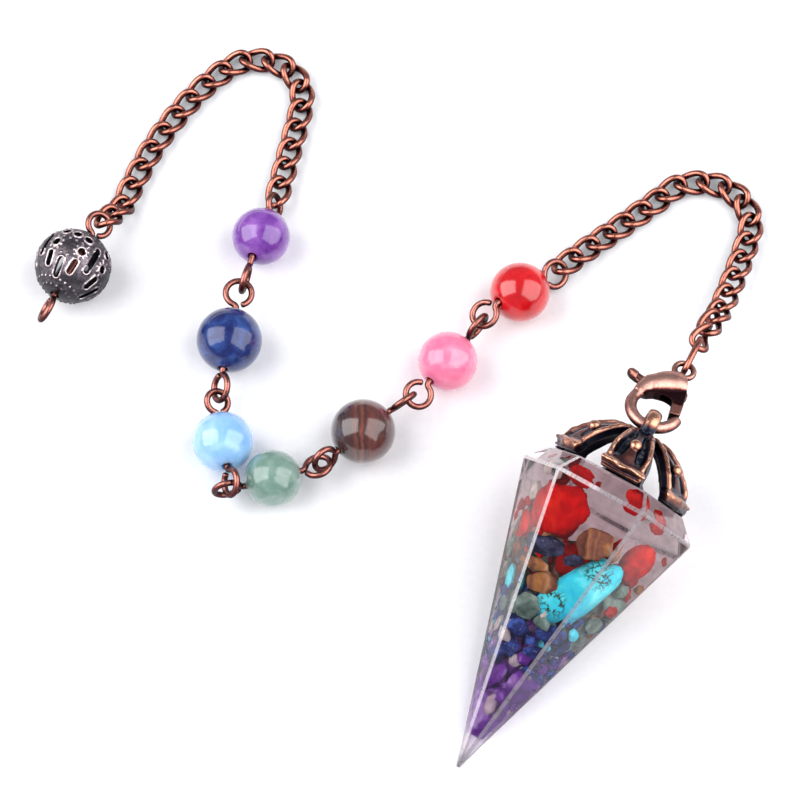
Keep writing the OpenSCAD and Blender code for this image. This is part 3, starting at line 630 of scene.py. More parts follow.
def dress(obj, material, nodes, body=STRAND):
    """Gives a finished piece its material, hides the CAD nodes that it stands for and hangs it on the body
    that it rides on.
    """
    obj.data.materials.clear()
    obj.data.materials.append(material)
    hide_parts(*nodes)
    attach(obj, body)
    return obj


def new_object(name, corners, faces):
    """An object of corners in millimetres and faces."""
    mesh = bpy.data.meshes.new(name)
    mesh.from_pydata([tuple(Vector(c) * MM) for c in corners], [], faces)
    mesh.validate()
    mesh.update()
    mesh.shade_smooth()
    obj = bpy.data.objects.new(name, mesh)
    bpy.context.scene.collection.objects.link(obj)
    return obj


class Form:
    """Corners and faces gathered from several shapes."""

    def __init__(self):
        self.corners = []
        self.faces = []

    def add(self, corners, faces, place=None):
        """Adds a shape, moved to its place."""
        base = len(self.corners)
        self.corners += [place @ Vector(c) for c in corners] if place else list(corners)
        self.faces += [[base + i for i in face] for face in faces]
        return self

    def object(self, name):
        """The shapes as one object."""
        return new_object(name, self.corners, self.faces)


def turns(count, start=0.0):
    """Angles of equal steps round a circle, in radians."""
    return [2 * pi * (start + k) / count for k in range(count)]


def ring(at, run, out, radius, sides):
    """Corners of a wire's section."""
    out = (out - run * out.dot(run)).normalized()
    up = run.cross(out)
    return [at + radius * (cos(a) * out + sin(a) * up) for a in turns(sides)]


def wall(spans, rings, sides):
    """Faces between the sections of a wire."""
    faces = []
    for i in range(spans):
        here = i * sides
        ahead = (i + 1) % rings * sides
        for k in range(sides):
            n = (k + 1) % sides
            faces.append([here + k, ahead + k, ahead + n, here + n])
    return faces


def closed_wire(path, outs, radius, sides):
    """Wire bent round a closed path, with the way out of the bend at each place."""
    corners = []
    count = len(path)
    for i, at in enumerate(path):
        run = (path[(i + 1) % count] - path[i - 1]).normalized()
        corners += ring(at, run, outs[i], radius, sides)
    return corners, wall(count, count, sides)


def oval(long, wide, twist, radius, steps, sides):
    """Wire bent round an oval whose middle line rises and falls twice by the twist."""
    corners = []
    for t in turns(steps):
        at = Vector((long * cos(t), wide * sin(t), twist * sin(2 * t)))
        run = Vector((-long * sin(t), wide * cos(t), 2 * twist * cos(2 * t))).normalized()
        corners += ring(at, run, at, radius, sides)
    return corners, wall(steps, steps, sides)


def wire_end(section, side):
    """Sections of a wire's rounded end, after the section there or, with a side of -1, before it."""
    at, run, out, radius = section
    end = []
    for turn in (25, 50, 75):
        a = radians(turn)
        end.append((at + side * run * radius * sin(a) * WIRE_END, run, out, radius * cos(a)))
    return end[::side]


def wire(path, radius, sides):
    """Wire bent along a path, with rounded ends."""
    steps = [(b - a).normalized() for a, b in zip(path, path[1:])]
    runs = [(before + after).normalized() for before, after in zip(steps[:1] + steps, steps + steps[-1:])]
    out = runs[0].orthogonal().normalized()
    sections = []
    for at, run in zip(path, runs):
        out = (out - run * out.dot(run)).normalized()
        sections.append((at, run, out, radius))
    sections = wire_end(sections[0], -1) + sections + wire_end(sections[-1], 1)
    corners = []
    for section in sections:
        corners += ring(*section, sides)
    rings = len(sections)
    ends = [list(range(sides)), [(rings - 1) * sides + k for k in reversed(range(sides))]]
    return corners, wall(rings - 1, rings, sides) + ends


def ball(radius, rows, sides):
    """Corners and faces of a ball."""
    corners = [Vector((0, 0, radius))]
    for i in range(1, rows):
        polar = pi * i / rows
        for turn in turns(sides):
            corners.append(radius * Vector((
                sin(polar) * cos(turn), sin(polar) * sin(turn), cos(polar))))
    corners.append(Vector((0, 0, -radius)))
    faces = []
    for k in range(sides):
        n = (k + 1) % sides
        faces.append([0, 1 + k, 1 + n])
        for i in range(rows - 2):
            a = 1 + i * sides
            faces.append([a + k, a + sides + k, a + sides + n, a + n])
        last = 1 + (rows - 2) * sides
        faces.append([last + k, len(corners) - 1, last + n])
    return corners, faces


def read(mesh):
    """A mesh opened for work on its corners and faces."""
    shape = bmesh.new()
    shape.from_mesh(mesh)
    return shape


def write(shape, mesh):
    """Writes the corners and faces back to the mesh."""
    shape.to_mesh(mesh)
    shape.free()
    mesh.shade_smooth()
    return mesh


def groups_of(shape):
    """The loose parts of a mesh, each as a list of its corners."""
    left = set(shape.verts)
    groups = []
    for seed in shape.verts:
        if seed not in left:
            continue
        left.discard(seed)
        group = [seed]
        for vert in group:
            for edge in vert.link_edges:
                other = edge.other_vert(vert)
                if other in left:
                    left.discard(other)
                    group.append(other)
        groups.append(group)
    return groups


def loose_solids(node):
    """The loose solids of a CAD node, each as its corners in millimetres and its faces."""
    shape = read(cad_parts[node].data)
    bmesh.ops.remove_doubles(shape, verts=shape.verts, dist=0.001 * MM)
    solids = []
    for group in groups_of(shape):
        number = {vert: i for i, vert in enumerate(group)}
        faces = {face for vert in group for face in vert.link_faces}
        faces = sorted(([number[v] for v in face.verts] for face in faces), key=lambda f: (min(f), f))
        solids.append(([vert.co / MM for vert in group], faces))
    shape.free()
    return solids


def cad_form(node):
    """The corners and faces of a CAD node."""
    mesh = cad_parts[node].data
    return Form().add([v.co / MM for v in mesh.vertices], [list(face.vertices) for face in mesh.polygons])


def main_frame(corners):
    """Matrix whose X, Y and Z are a solid's longest, middle and shortest way."""
    points = np.array([tuple(c) for c in corners])
    middle = points.mean(axis=0)
    axes = np.linalg.svd(points - middle, full_matrices=False)[2]
    axes[2] = np.cross(axes[0], axes[1])
    place = Matrix(axes.T.tolist()).to_4x4()
    place.translation = Vector(middle)
    return place


def applied(obj):
    """The object's mesh with its modifiers applied and taken off."""
    bpy.context.view_layer.update()
    shown = obj.evaluated_get(bpy.context.evaluated_depsgraph_get())
    mesh = bpy.data.meshes.new_from_object(shown)
    obj.modifiers.clear()
    return mesh


def smoothed(obj, passes):
    """The object's mesh with its other modifiers and some passes of smoothing applied."""
    smooth = obj.modifiers.new("Smooth", "SMOOTH")
    smooth.iterations = passes
    smooth.factor = 0.5
    mesh = applied(obj)
    mesh.shade_smooth()
    return mesh


def reshaped(obj, place, move):
    """Moves a piece's corners by a function of their place in a frame, or not where it gives nothing."""
    back = place.inverted()
    for vert in obj.data.vertices:
        moved = move(back @ (vert.co / MM))
        if moved is not None:
            vert.co = (place @ moved) * MM


def make_links(node, name, link, material):
    """Smooth oval links where the CAD's lie."""
    form = Form()
    for corners, _ in loose_solids(node):
        form.add(*oval(*link), main_frame(corners))
    return dress(form.object(name), material, [node])


def eye_path(mouth, row):
    """Middle line of an eye from the mouth of its bead: the neck, the bend and the ring."""
    heading, tilt, roll, neck, radius = row
    ahead = toward(heading, tilt)
    left = Vector((-sin(radians(heading)), cos(radians(heading)), 0))
    aside = cos(radians(roll)) * left + sin(radians(roll)) * ahead.cross(left)
    middle = mouth + (neck + radius) * ahead
    start = 180 - degrees(EYE_BEND / radius)
    path = [mouth, mouth + (neck - EYE_BEND) * ahead]
    for turn in (22.5, 45.0, 67.5):
        a = radians(turn)
        path.append(mouth + (neck - EYE_BEND + EYE_BEND * sin(a)) * ahead
                    + EYE_BEND * (1 - cos(a)) * aside)
    for k in range(EYE_STEPS + 1):
        a = radians(start + (180 - EYE_TURN - start) * k / EYE_STEPS)
        path.append(middle + radius * (cos(a) * ahead + sin(a) * aside))
    return path


def make_wire(name, material):
    """Smooth wire through a bead, with its two eyes."""
    across, away, size, heading, tilt, first, last = BEADS[name]
    middle = laid_out((across, away, size / 2))
    reach = size / 2 * toward(heading, tilt)
    path = eye_path(middle - reach, first)[::-1] + eye_path(middle + reach, last)
    obj = new_object(name + "_eyed_wire", *wire(path, BEAD_WIRE, WIRE_SIDES))
    return dress(obj, material, [name + "_wire"])


def make_bead(name, material):
    """Round bead with a bore whose mouths are slightly rounded."""
    across, away, size, heading, tilt, _, _ = BEADS[name]
    radius = size / 2
    start = asin((BEAD_BORE + MOUTH_ROUND) / radius)
    profile = []
    for i in range(BEAD_ROWS + 1):
        polar = start + (pi - 2 * start) * i / BEAD_ROWS
        profile.append((radius * sin(polar), radius * cos(polar)))
    edge = profile[0][1]
    inner = [(BEAD_BORE, edge - MOUTH_DEPTH), (BEAD_BORE + MOUTH_EDGE[0], edge - MOUTH_EDGE[1])]
    profile = inner + profile + [(out, -up) for out, up in reversed(inner)]
    corners = []
    for out, up in profile:
        corners += [Vector((up, out * cos(turn), out * sin(turn))) for turn in turns(BEAD_SIDES)]
    place = lie(laid_out((across, away, radius)), heading, tilt)
    form = Form().add(corners, wall(len(profile), len(profile), BEAD_SIDES), place)
    return dress(form.object(name + "_round_bead"), material, [name + "_bead"])


def facet_distance(level):
    """Distance of the cone's facets from its axis at a level."""
    return min(level * FACET_SLOPE, SHOULDER * FACET_SLOPE - (level - SHOULDER) * TO_RIDGE)


def cone_corner(level, flat, turn):
    """Corner of the cone at a level, with its facets a distance from the axis."""
    out = flat / TO_RIDGE
    return Vector((level, out * sin(radians(turn)), out * cos(radians(turn))))


def rounded_off(before, at, after, cut):
    """Places on the curve that takes off a corner, from one side of it to the other."""
    start = (before - at).normalized() * cut
    end = (after - at).normalized() * cut
    parts = [i / EDGE_STEPS for i in range(EDGE_STEPS + 1)]
    return [at + (1 - part) ** 2 * start + part ** 2 * end for part in parts]


def cone_section(level, flat):
    """The cone's section at a level, its six ridges rounded off."""
    cut = min(CONE_EDGE, CONE_EDGE_SHARE * flat / TO_RIDGE)
    section = []
    for k in range(6):
        before, at, after = (cone_corner(level, flat, 30 + 60 * (k + step)) for step in (-1, 0, 1))
        section += rounded_off(before, at, after, cut)
    return section


def cone_profile():
    """Levels of the cone and its facets' distances from the axis there, and which spans are rounded edges."""
    line = [Vector((level, facet_distance(level))) for level in (BLUNT, SHOULDER, SHOULDER + CHAMFER)]
    line = [Vector((BLUNT, 0.0)), *line, Vector((SHOULDER + CHAMFER, 0.0))]
    profile, edges = [], []
    for number, cut in ((1, POINT_EDGE), (2, CONE_EDGE), (3, CONE_EDGE)):
        edges += range(len(profile), len(profile) + EDGE_STEPS)
        profile += rounded_off(line[number - 1], line[number], line[number + 1], cut)
        if number == 1:
            profile.append(Vector((FULL_EDGE_FROM, facet_distance(FULL_EDGE_FROM))))
    return profile, edges


def make_cone(material, edges):
    """Six-sided cone with rounded edges, which are scuffed and carry a painted highlight and painted shade.
    """
    profile, edge_spans = cone_profile()
    corners = [corner for level, flat in profile for corner in cone_section(level, flat)]
    sides = 6 * (EDGE_STEPS + 1)
    count = len(profile)
    ends = [list(range(sides)), list(range(sides * count - 1, sides * (count - 1) - 1, -1))]
    obj = Form().add(corners, wall(count - 1, count, sides) + ends, ALONG_CONE).object("cone_of_resin")
    shape = read(obj.data)
    bmesh.ops.recalc_face_normals(shape, faces=shape.faces)
    write(shape, obj.data)
    weighted = obj.modifiers.new("Flat facets", "WEIGHTED_NORMAL")
    weighted.mode = "FACE_AREA"
    weighted.weight = 100
    dress(obj, material, ["resin_cone"])
    obj.data.materials.append(edges)
    for span in range(count - 1):
        for side in range(sides):
            if span in edge_spans or side % (EDGE_STEPS + 1) < EDGE_STEPS:
                obj.data.polygons[span * sides + side].material_index = 1
    return obj


def rounded(name, form, wear):
    """Corners worn round, surfaces made lumpy, and each loose part grown about its middle."""
    levels, passes, grow, rough = wear
    obj = form.object(name)
    finer = obj.modifiers.new("Finer", "SUBSURF")
    finer.subdivision_type = "SIMPLE"
    finer.levels = finer.render_levels = levels
    obj.data = smoothed(obj, passes)
    shape = read(obj.data)
    for group in groups_of(shape):
        middle = sum((v.co for v in group), Vector()) / len(group)
        for vert in group:
            at = vert.co / MM
            lump = noise.noise(at * LUMPS) * rough + noise.noise(at * FINE_LUMPS) * rough * FINE_SHARE
            vert.co = middle + (vert.co - middle) * grow * (1 + lump)
    write(shape, obj.data)
    return obj


def joined(first, second):
    """Adds the second object's mesh to the first and removes the second."""
    shape = read(first.data)
    shape.from_mesh(second.data)
    write(shape, first.data)
    bpy.data.objects.remove(second)
    return first


def splinter(chance, size):
    """Corners and faces of a small broken stone."""
    shape = bmesh.new()
    for _ in range(SPLINTER_POINTS):
        way = Vector((chance.gauss(0, 1), chance.gauss(0, 1), chance.gauss(0, 1))).normalized()
        shape.verts.new(Vector((way.x, way.y * SPLINTER_WIDE, way.z * SPLINTER_HIGH)) * size / 2)
    bmesh.ops.convex_hull(shape, input=shape.verts)
    loose = [v for v in shape.verts if not v.link_faces]
    bmesh.ops.delete(shape, geom=loose, context="VERTS")
    shape.verts.index_update()
    corners = [v.co.copy() for v in shape.verts]
    faces = [[v.index for v in face.verts] for face in shape.faces]
    shape.free()
    return corners, faces


def hides_chip(at, chips):
    """Whether a place in the cone lies over one of the stones near its upper facets."""
    return any(
        at.z > middle.z - HIDING_DEPTH and middle.z > 0 and hypot(at.x - middle.x, at.y - middle.y) < reach
        for middle, reach in chips)


def in_clear_part(at):
    """Whether a place in the cone lies in its clear upper part."""
    return at.x > CLEAR_FROM and CLEAR_LEFT < -at.y < CLEAR_RIGHT


def scattered(row, number, chips):
    """Small stones strewn in their kind's part of the cone, the larger ones on its underside."""
    _, count, first, last, small, large = row
    chance = random.Random(SPLINTER_SEED + number)
    form = Form()
    for n in range(2 * count):
        behind = n % 2
        along = chance.uniform(first, last)
        size = chance.uniform(small, large) * (BEHIND if behind else 1.0)
        room = max(0.05, along * FACET_SLOPE - SPLINTER_ROOM * size)
        out = room * sqrt(chance.uniform(0.05, 1.0))
        turn = chance.uniform(0.5, 1.5) * pi if behind else chance.uniform(-pi, pi)
        at = Vector((along, out * sin(turn), out * cos(turn)))
        bent = Matrix.Rotation(chance.uniform(0, 6), 4, "X") @ Matrix.Rotation(chance.uniform(0, 6), 4, "Z")
        shape = splinter(chance, size)
        if not hides_chip(at, chips) and not in_clear_part(at):
            form.add(*shape, ALONG_CONE @ Matrix.Translation(at) @ bent)
    return form


def chip_places():
    """Middle of every stone along the cone, and how far round it other stones would hide it."""
    back = ALONG_CONE.inverted()
    places = []
    for row in SPLINTERS:
        for corners, _ in loose_solids(row[0] + "_chips"):
            points = [back @ c for c in corners]
            middle = sum(points, Vector()) / len(points)
            reach = max((p - middle).length for p in points)
            places.append((middle, HIDING_SHARE * reach))
    return places


def tablet(corners, growth, shift, bluntness, dip):
    """A blunt tablet in a stone's place, grown along its length, width and height, its right end lowered."""
    place = main_frame(corners)
    back = place.inverted()
    half = [max(abs((back @ c)[i]) for c in corners) * growth[i] for i in range(3)]
    shift = ALONG_CONE.to_3x3() @ Vector(shift)
    turn = Matrix.Rotation(radians(dip), 3, ALONG_CONE.to_3x3() @ Vector((1, 0, 0)))
    points, faces = ball(1.0, *TABLET_FINENESS)
    shaped = []
    for point in points:
        point = point * sum(abs(part) ** bluntness for part in point) ** (-1 / bluntness)
        grown = Vector((point.x * half[0], point.y * half[1], point.z * half[2]))
        shaped.append(place.translation + turn @ (place.to_3x3() @ grown) + shift)
    return shaped, faces


def tablet_form(corners):
    """Growth, shift, bluntness and dip of a stone that is worn to a tablet, or nothing for any other."""
    middle = ALONG_CONE.inverted() @ (sum(corners, Vector()) / len(corners))
    for along, right, *form in TABLETS:
        if hypot(middle.x - along, middle.y + right) < 1.0:
            return form
    return None


def under_facets(at):
    """The place in the cone, moved inward where it is too near the cone's surface."""
    at.x = min(at.x, SHOULDER + CHAMFER - COVER)
    flat = facet_distance(at.x) - COVER_LOW - (COVER - COVER_LOW) * rise(at.x, COVER_LOW_TO, COVER_FROM)
    for turn in range(0, 360, 60):
        way = Vector((0, sin(radians(turn)), cos(radians(turn))))
        at -= max(0.0, at.dot(way) - flat) * way
    return at


def make_chips(number, material, chips):
    """Rounded, chipped stones in the places of the CAD's chips, with small stones between them."""
    kind = SPLINTERS[number][0]
    broken, worn = Form(), Form()
    for corners, faces in loose_solids(kind + "_chips"):
        form = tablet_form(corners)
        if form:
            worn.add(*tablet(corners, *form))
        else:
            broken.add(corners, faces)
    obj = rounded(kind + "_stones", broken, STONE_WEAR)
    if worn.corners:
        joined(obj, rounded(kind + "_tablets", worn, TABLET_WEAR))
    joined(obj, rounded(kind + "_splinters", scattered(SPLINTERS[number], number, chips), SPLINTER_WEAR))
    reshaped(obj, ALONG_CONE, under_facets)
    return dress(obj, material, [kind + "_chips"])


def without_crumbs(mesh):
    """Takes off the tiny loose parts that melting leaves beside a casting."""
    shape = read(mesh)
    groups = groups_of(shape)
    largest = max(len(group) for group in groups)
    for group in groups:
        if len(group) < CRUMB * largest:
            bmesh.ops.delete(shape, geom=group, context="VERTS")
    return write(shape, mesh)


def melted(name, form, grain, passes):
    """Shapes melted into one smooth casting."""
    obj = form.object(name)
    melt = obj.modifiers.new("Melt", "REMESH")
    melt.mode = "VOXEL"
    melt.voxel_size = grain * MM
    melt.use_smooth_shade = True
    obj.data = without_crumbs(smoothed(obj, passes))
    return obj


def mark_proud(obj, measure):
    """Writes how proud each corner stands, from 0 to 1, by a measure of its place in millimetres."""
    proud = obj.data.attributes.new("proud", "FLOAT", "POINT")
    for vert in obj.data.vertices:
        proud.data[vert.index].value = min(1.0, max(0.0, measure(vert.co / MM)))


def petal_height(theta, away, aside, edge, chance):
    """Height of a petal over the dome: ribs at its edges, a tongue between two hollows, and a broken lip."""
    half = between(TONGUE_WIDTH, away)
    rib = RIB_HEIGHT * hump(edge, 0.38, 0.48) * rise(theta, 8, 20) * (1 - rise(theta, 61, 65))
    hollow = rise(edge, 0.55, 1.0) * rise(abs(aside), half, half + 0.4) * rise(theta, 17, 24)
    tongue = TONGUE_HEIGHT * hump(aside, 0.0, half + 0.3) * rise(theta, 30, 40) * (1 - rise(theta, 54, 62))
    lip = LIP_HEIGHT * hump(theta, 67.8, 5.2) - LIP_BREAK * hump(theta, 69.8, 1.8) * rise(chance, -0.1, 0.25)
    return rib - HOLLOW_DEPTH * hollow * (1 - rise(theta, 55, 60)) + tongue + lip


def petal_width(theta, away):
    """Half the width of a petal at an angle and distance from the axis."""
    return min(0.5 * away, between(PETAL_WIDTH, away)) + LIP_WIDTH * hump(theta, LIP_ANGLE, 4.5)


def on_dome(out, a, phi):
    """Place at a distance from the dome's centre, an angle from its axis and a turn about it."""
    return Vector((
        out * sin(a) * cos(phi), out * sin(a) * sin(phi), DOME_CENTRE + out * cos(a)))


def petal_faces(base):
    """Faces of a petal between its outside, its inside from a first corner on, and their edges."""
    span = PETAL_COLUMNS + 1
    faces = []
    for i in range(PETAL_ROWS):
        for k in range(PETAL_COLUMNS):
            a = i * span + k
            faces.append([a, a + span, a + span + 1, a + 1])
            faces.append([base + a, base + a + 1, base + a + span + 1, base + a + span])
        for k, step in ((0, 1), (PETAL_COLUMNS, -1)):
            a = i * span + k
            faces.append([a, base + a, base + a + span, a + span][::step])
    for i, step in ((0, -1), (PETAL_ROWS, 1)):
        for k in range(PETAL_COLUMNS):
            a = i * span + k
            faces.append([a, base + a, base + a + 1, a + 1][::step])
    return faces


def make_petal(form, turn):
    """One petal of the cap as a closed shape."""
    outside, inside = [], []
    for i in range(PETAL_ROWS + 1):
        theta = 1.0 + (RIM_ANGLE - 1.0) * i / PETAL_ROWS
        away = DOME_RADIUS * sin(radians(theta))
        width = petal_width(theta, away)
        for k in range(PETAL_COLUMNS + 1):
            aside = width * (2 * k / PETAL_COLUMNS - 1)
            phi = asin(max(-0.99, min(0.99, aside / away))) + radians(turn)
            at = Vector((away * cos(phi), away * sin(phi), theta * 0.2))
            wander = 1 + WANDER * noise.noise(at * WANDER_SCALE)
            level = theta + LIP_WANDER * noise.noise(at * LIP_WANDER_SCALE)
            chance = noise.noise(at * LIP_BREAK_SCALE)
            height = petal_height(level, away, aside, width - abs(aside), chance) * wander
            outside.append(on_dome(DOME_RADIUS + height, radians(theta), phi))
            within = radians(theta * RIM_ANGLE_INSIDE / RIM_ANGLE)
            inside.append(on_dome(DOME_RADIUS - DOME_WALL, within, phi))
    form.add(outside + inside, petal_faces(len(outside)), ON_CAP)


def make_loop(form):
    """The cap's flat loop and its foot."""
    turned = ON_CAP @ spin(LOOP_TURN, "Z")
    middle = ON_CAP @ Vector((0, 0, LOOP_LEVEL))
    wide = (turned.to_3x3() @ Vector((0, 1, 0))).normalized()
    corners = []
    for turn in turns(LOOP_STEPS):
        at = turned @ Vector((LOOP_MIDDLE * cos(turn), 0, LOOP_LEVEL + LOOP_MIDDLE * sin(turn)))
        out = (at - middle).normalized()
        for a in turns(LOOP_SIDES):
            corners.append(at + LOOP_HALF_THICK * cos(a) * out + LOOP_HALF_WIDE * sin(a) * wide)
    form.add(corners, wall(LOOP_STEPS, LOOP_STEPS, LOOP_SIDES))
    foot = Matrix.Translation((0, 0, DOME_CENTRE + DOME_RADIUS - FOOT_DEPTH)) @ Matrix.Diagonal(FOOT_SIZE)
    form.add(*ball(1.0, *NUB_FINENESS), ON_CAP @ foot)


def make_cap(material):
    """Cast cap: six ribbed petals with rolled lips and nubs, and the loop on top."""
    form = Form()
    for k in range(PETALS):
        turn = PETAL_TURN + 360 * k / PETALS
        make_petal(form, turn)
        nub = spin(turn, "Z") @ Matrix.Translation((0, 0, DOME_CENTRE))
        nub = nub @ spin(NUB_ANGLE, "Y") @ Matrix.Translation((0, 0, DOME_RADIUS))
        form.add(*ball(NUB_RADIUS, *NUB_FINENESS), ON_CAP @ nub)
    make_loop(form)
    cap = melted("cap_casting", form, *CAP_MELT)
    back = ON_CAP.inverted()

    def measure(at):
        place = back @ at - Vector((0, 0, DOME_CENTRE))
        up = place.length - DOME_RADIUS
        if place.z > 0 and hypot(place.x, place.y) < HUB:
            return 0.25 + 0.85 * rise(up, 0.7, 1.9)
        return 0.42 + up * 1.25

    mark_proud(cap, measure)
    return dress(cap, material, ["petal_cap"])


def crown(x, y):
    """Distance from the clasp's spine in half widths, and the half thickness that its body has there."""
    best = (9.0, 1.0)
    for (x0, y0, w0, b0), (x1, y1, w1, b1) in zip(CLASP_SPINE, CLASP_SPINE[1:]):
        dx, dy = x1 - x0, y1 - y0
        t = min(1.0, max(0.0, ((x - x0) * dx + (y - y0) * dy) / (dx * dx + dy * dy)))
        far = hypot(x - x0 - t * dx, y - y0 - t * dy) / (w0 + (w1 - w0) * t)
        if far < best[0]:
            best = (far, b0 + (b1 - b0) * t)
    return best


def melt_joint(obj, back):
    """Smooths the place where the clasp's hook leaves its body."""
    right, low, high = HOOK_JOINT
    shape = read(obj.data)
    joint = []
    for vert in shape.verts:
        at = back @ (vert.co / MM)
        if at.x < right and low < at.y < high:
            joint.append(vert)
    for _ in range(JOINT_PASSES):
        bmesh.ops.smooth_vert(
            shape, verts=joint, factor=0.5, use_axis_x=True, use_axis_y=True, use_axis_z=True)
    write(shape, obj.data)


def crowned(at):
    """The place on the clasp's body after its flat faces are crowned, or nothing where they stay flat."""
    if at.y < CROWN_FROM or at.y > CROWN_TO or abs(at.z) < SLOT_HALF:
        return None
    far, thick = crown(at.x, at.y)
    half = max(SLOT_HALF + CHEEK, thick * sqrt(max(0.0, 1 - 0.8 * min(far, 1.1) ** 2)))
    scale = 1 + ((half - SLOT_HALF) / (SLAB_HALF - SLOT_HALF) - 1) * rise(at.y, 3.4, 4.6)
    at.z = copysign(SLOT_HALF + (abs(at.z) - SLOT_HALF) * scale, at.z)
    return at


def make_clasp(material):
    """Cast clasp body: the CAD's, with its flat faces crowned along its spine."""
    obj = melted("clasp_casting", cad_form("clasp_body"), *CLASP_MELT)
    reshaped(obj, ON_CLASP, crowned)
    back = ON_CLASP.inverted()
    melt_joint(obj, back)
    obj.data = smoothed(obj, CLASP_PASSES)

    def measure(at):
        place = back @ at
        if place.y < 4.2 or place.y > 10.0:
            return 0.95
        return 1.0 - 0.85 * rise(crown(place.x, place.y)[0], 0.7, 1.05)

    mark_proud(obj, measure)
    return dress(obj, material, ["clasp_body"])


def tab_rounded(at):
    """The place on the lever after its thumb tab is rounded off and lifted, or nothing beside the tab."""
    aside, up = (at.y - TAB_MIDDLE) / TAB_HALF_WIDE, at.z / TAB_HALF_THICK
    far = hypot(aside, up)
    if at.x >= TAB_FROM or far == 0:
        return None
    round_off = 1 + (max(abs(aside), abs(up)) / far - 1) * rise(TAB_FROM - at.x, 0.0, 0.8)
    end = max(0.0, (TAB_ROUND_FROM - at.x) / (TAB_ROUND_FROM - TAB_END))
    round_off *= sqrt(max(0.1, 1 - 0.85 * min(1.0, end) ** 2))
    at.y = TAB_MIDDLE + (at.y - TAB_MIDDLE) * round_off + TAB_LIFT * rise(TAB_FROM - at.x, 0.0, 2.6)
    at.z = at.z * round_off
    return at


def make_lever(material):
    """Cast lever: the CAD's, with its thumb tab rounded off and lifted."""
    obj = melted("lever_casting", cad_form("clasp_lever"), *LEVER_MELT)
    reshaped(obj, ON_CLASP, tab_rounded)
    obj.data = smoothed(obj, LEVER_PASSES)
    return dress(obj, material, ["clasp_lever"], LEVER)


def opening_outline(long, radius):
    """Outline of an opening at a radius from the ball's middle, its length along X, with Z outward."""
    half = SLOT_WIDE / 2 if long > HOLE else HOLE / 2
    straight = max(0.0, long / 2 - half)
    reach = half + RIM_WIRE * 0.75
    path, outs = [], []
    for a in turns(RIM_STEPS, 0.5):
        x = copysign(straight, cos(a)) + reach * cos(a)
        at = Vector((x, reach * sin(a), 0))
        at.z = sqrt(radius * radius - at.x * at.x - at.y * at.y)
        path.append(at)
        outs.append(at.normalized())
    return path, outs


def add_openings(form, radius, place):
    """Adds the raised rims of the ball's openings, and the grains round some of them."""
    for latitude, beyond, stride, long, grains in OPENINGS:
        for k in range(0, STATIONS, stride):
            turn = FIRST_STATION + 360 * (k + beyond) / STATIONS
            at = place @ spin(turn, "Z")
            at = at @ spin(90 - latitude, "Y")
            form.add(*closed_wire(*opening_outline(long, radius + 0.02), RIM_WIRE, RIM_SIDES), at)
            for a in turns(grains):
                grain = Vector((GRAIN_CIRCLE * cos(a), GRAIN_CIRCLE * sin(a), 0))
                grain.z = sqrt(radius * radius - GRAIN_CIRCLE * GRAIN_CIRCLE)
                form.add(*ball(GRAIN, *GRAIN_FINENESS), at @ Matrix.Translation(grain))


def add_grain_rows(form, radius, place):
    """Adds rows of grains round the ball."""
    for latitude in ROW_LATITUDES:
        up = radians(latitude)
        count = round(2 * pi * radius * cos(up) / ROW_STEP / STATIONS) * STATIONS
        for n in range(count):
            a = radians(FIRST_STATION + 360 * (n + 0.5) / count)
            grain = radius * Vector((cos(up) * cos(a), cos(up) * sin(a), sin(up)))
            form.add(*ball(ROW_GRAIN, *GRAIN_FINENESS), place @ Matrix.Translation(grain))


def make_pierced_ball(material):
    """Pierced ball: the CAD's, with raised rims round its openings and rows of grains."""
    across, away, size, heading, tilt, _, _ = BEADS["ball"]
    radius = size / 2
    place = lie(laid_out((across, away, radius)), heading, tilt) @ spin(90, "Y")
    form = cad_form("filigree_ball")
    add_openings(form, radius, place)
    add_grain_rows(form, radius, place)
    obj = melted("pierced_casting", form, *BALL_MELT)
    mark_proud(obj, lambda at: 0.62 + ((at - place.translation).length - radius) * 4.0)
    return dress(obj, material, ["filigree_ball"])


def look_from(obj, azimuth, elevation, distance, target=(0, 0, 0)):
    """Adds an object to the scene at a direction and distance from a place, and turns it to look there."""
    a, e = radians(azimuth), radians(elevation)
    back = Vector((sin(a) * cos(e), -cos(a) * cos(e), sin(e)))
    obj.location = (Vector(target) + distance * back) * MM
    obj.rotation_euler = (-back).to_track_quat("-Z", "Y").to_euler()
    bpy.context.scene.collection.objects.link(obj)


def make_floor():
    """Plain pale floor."""
    corners = [(x * FLOOR_HALF, y * FLOOR_HALF, FLOOR_LEVEL) for x, y in ((-1, -1), (1, -1), (1, 1), (-1, 1))]
    floor = new_object("floor", corners, [[0, 1, 2, 3]])
    paint = Paint("pale_floor", Roughness=0.7, Specular_IOR_Level=0.25)
    grain = paint.noise(0.8, 3.0)
    paint.coloured(paint.ramp(grain, (0.3, (0.9, 0.9, 0.915)), (0.7, (0.93, 0.93, 0.94))))
    paint.bump(grain, 0.01, 0.2)
    floor.data.materials.append(paint.material)


def make_lights():
    """Pale sky and two soft panels that look at the middle of the layout."""
    world = bpy.data.worlds.new("studio")
    bpy.context.scene.world = world
    world.use_nodes = True
    background = world.node_tree.nodes["Background"]
    background.inputs[0].default_value = SKY_COLOUR
    background.inputs[1].default_value = SKY_STRENGTH
    for name, (azimuth, width, height, power) in PANELS.items():
        data = bpy.data.lights.new(name, "AREA")
        data.shape = "RECTANGLE"
        data.size = width * MM
        data.size_y = height * MM
        data.energy = power
        data.color = PANEL_COLOUR
        look_from(bpy.data.objects.new(name, data), azimuth, PANEL_ELEVATION, PANEL_DISTANCE)


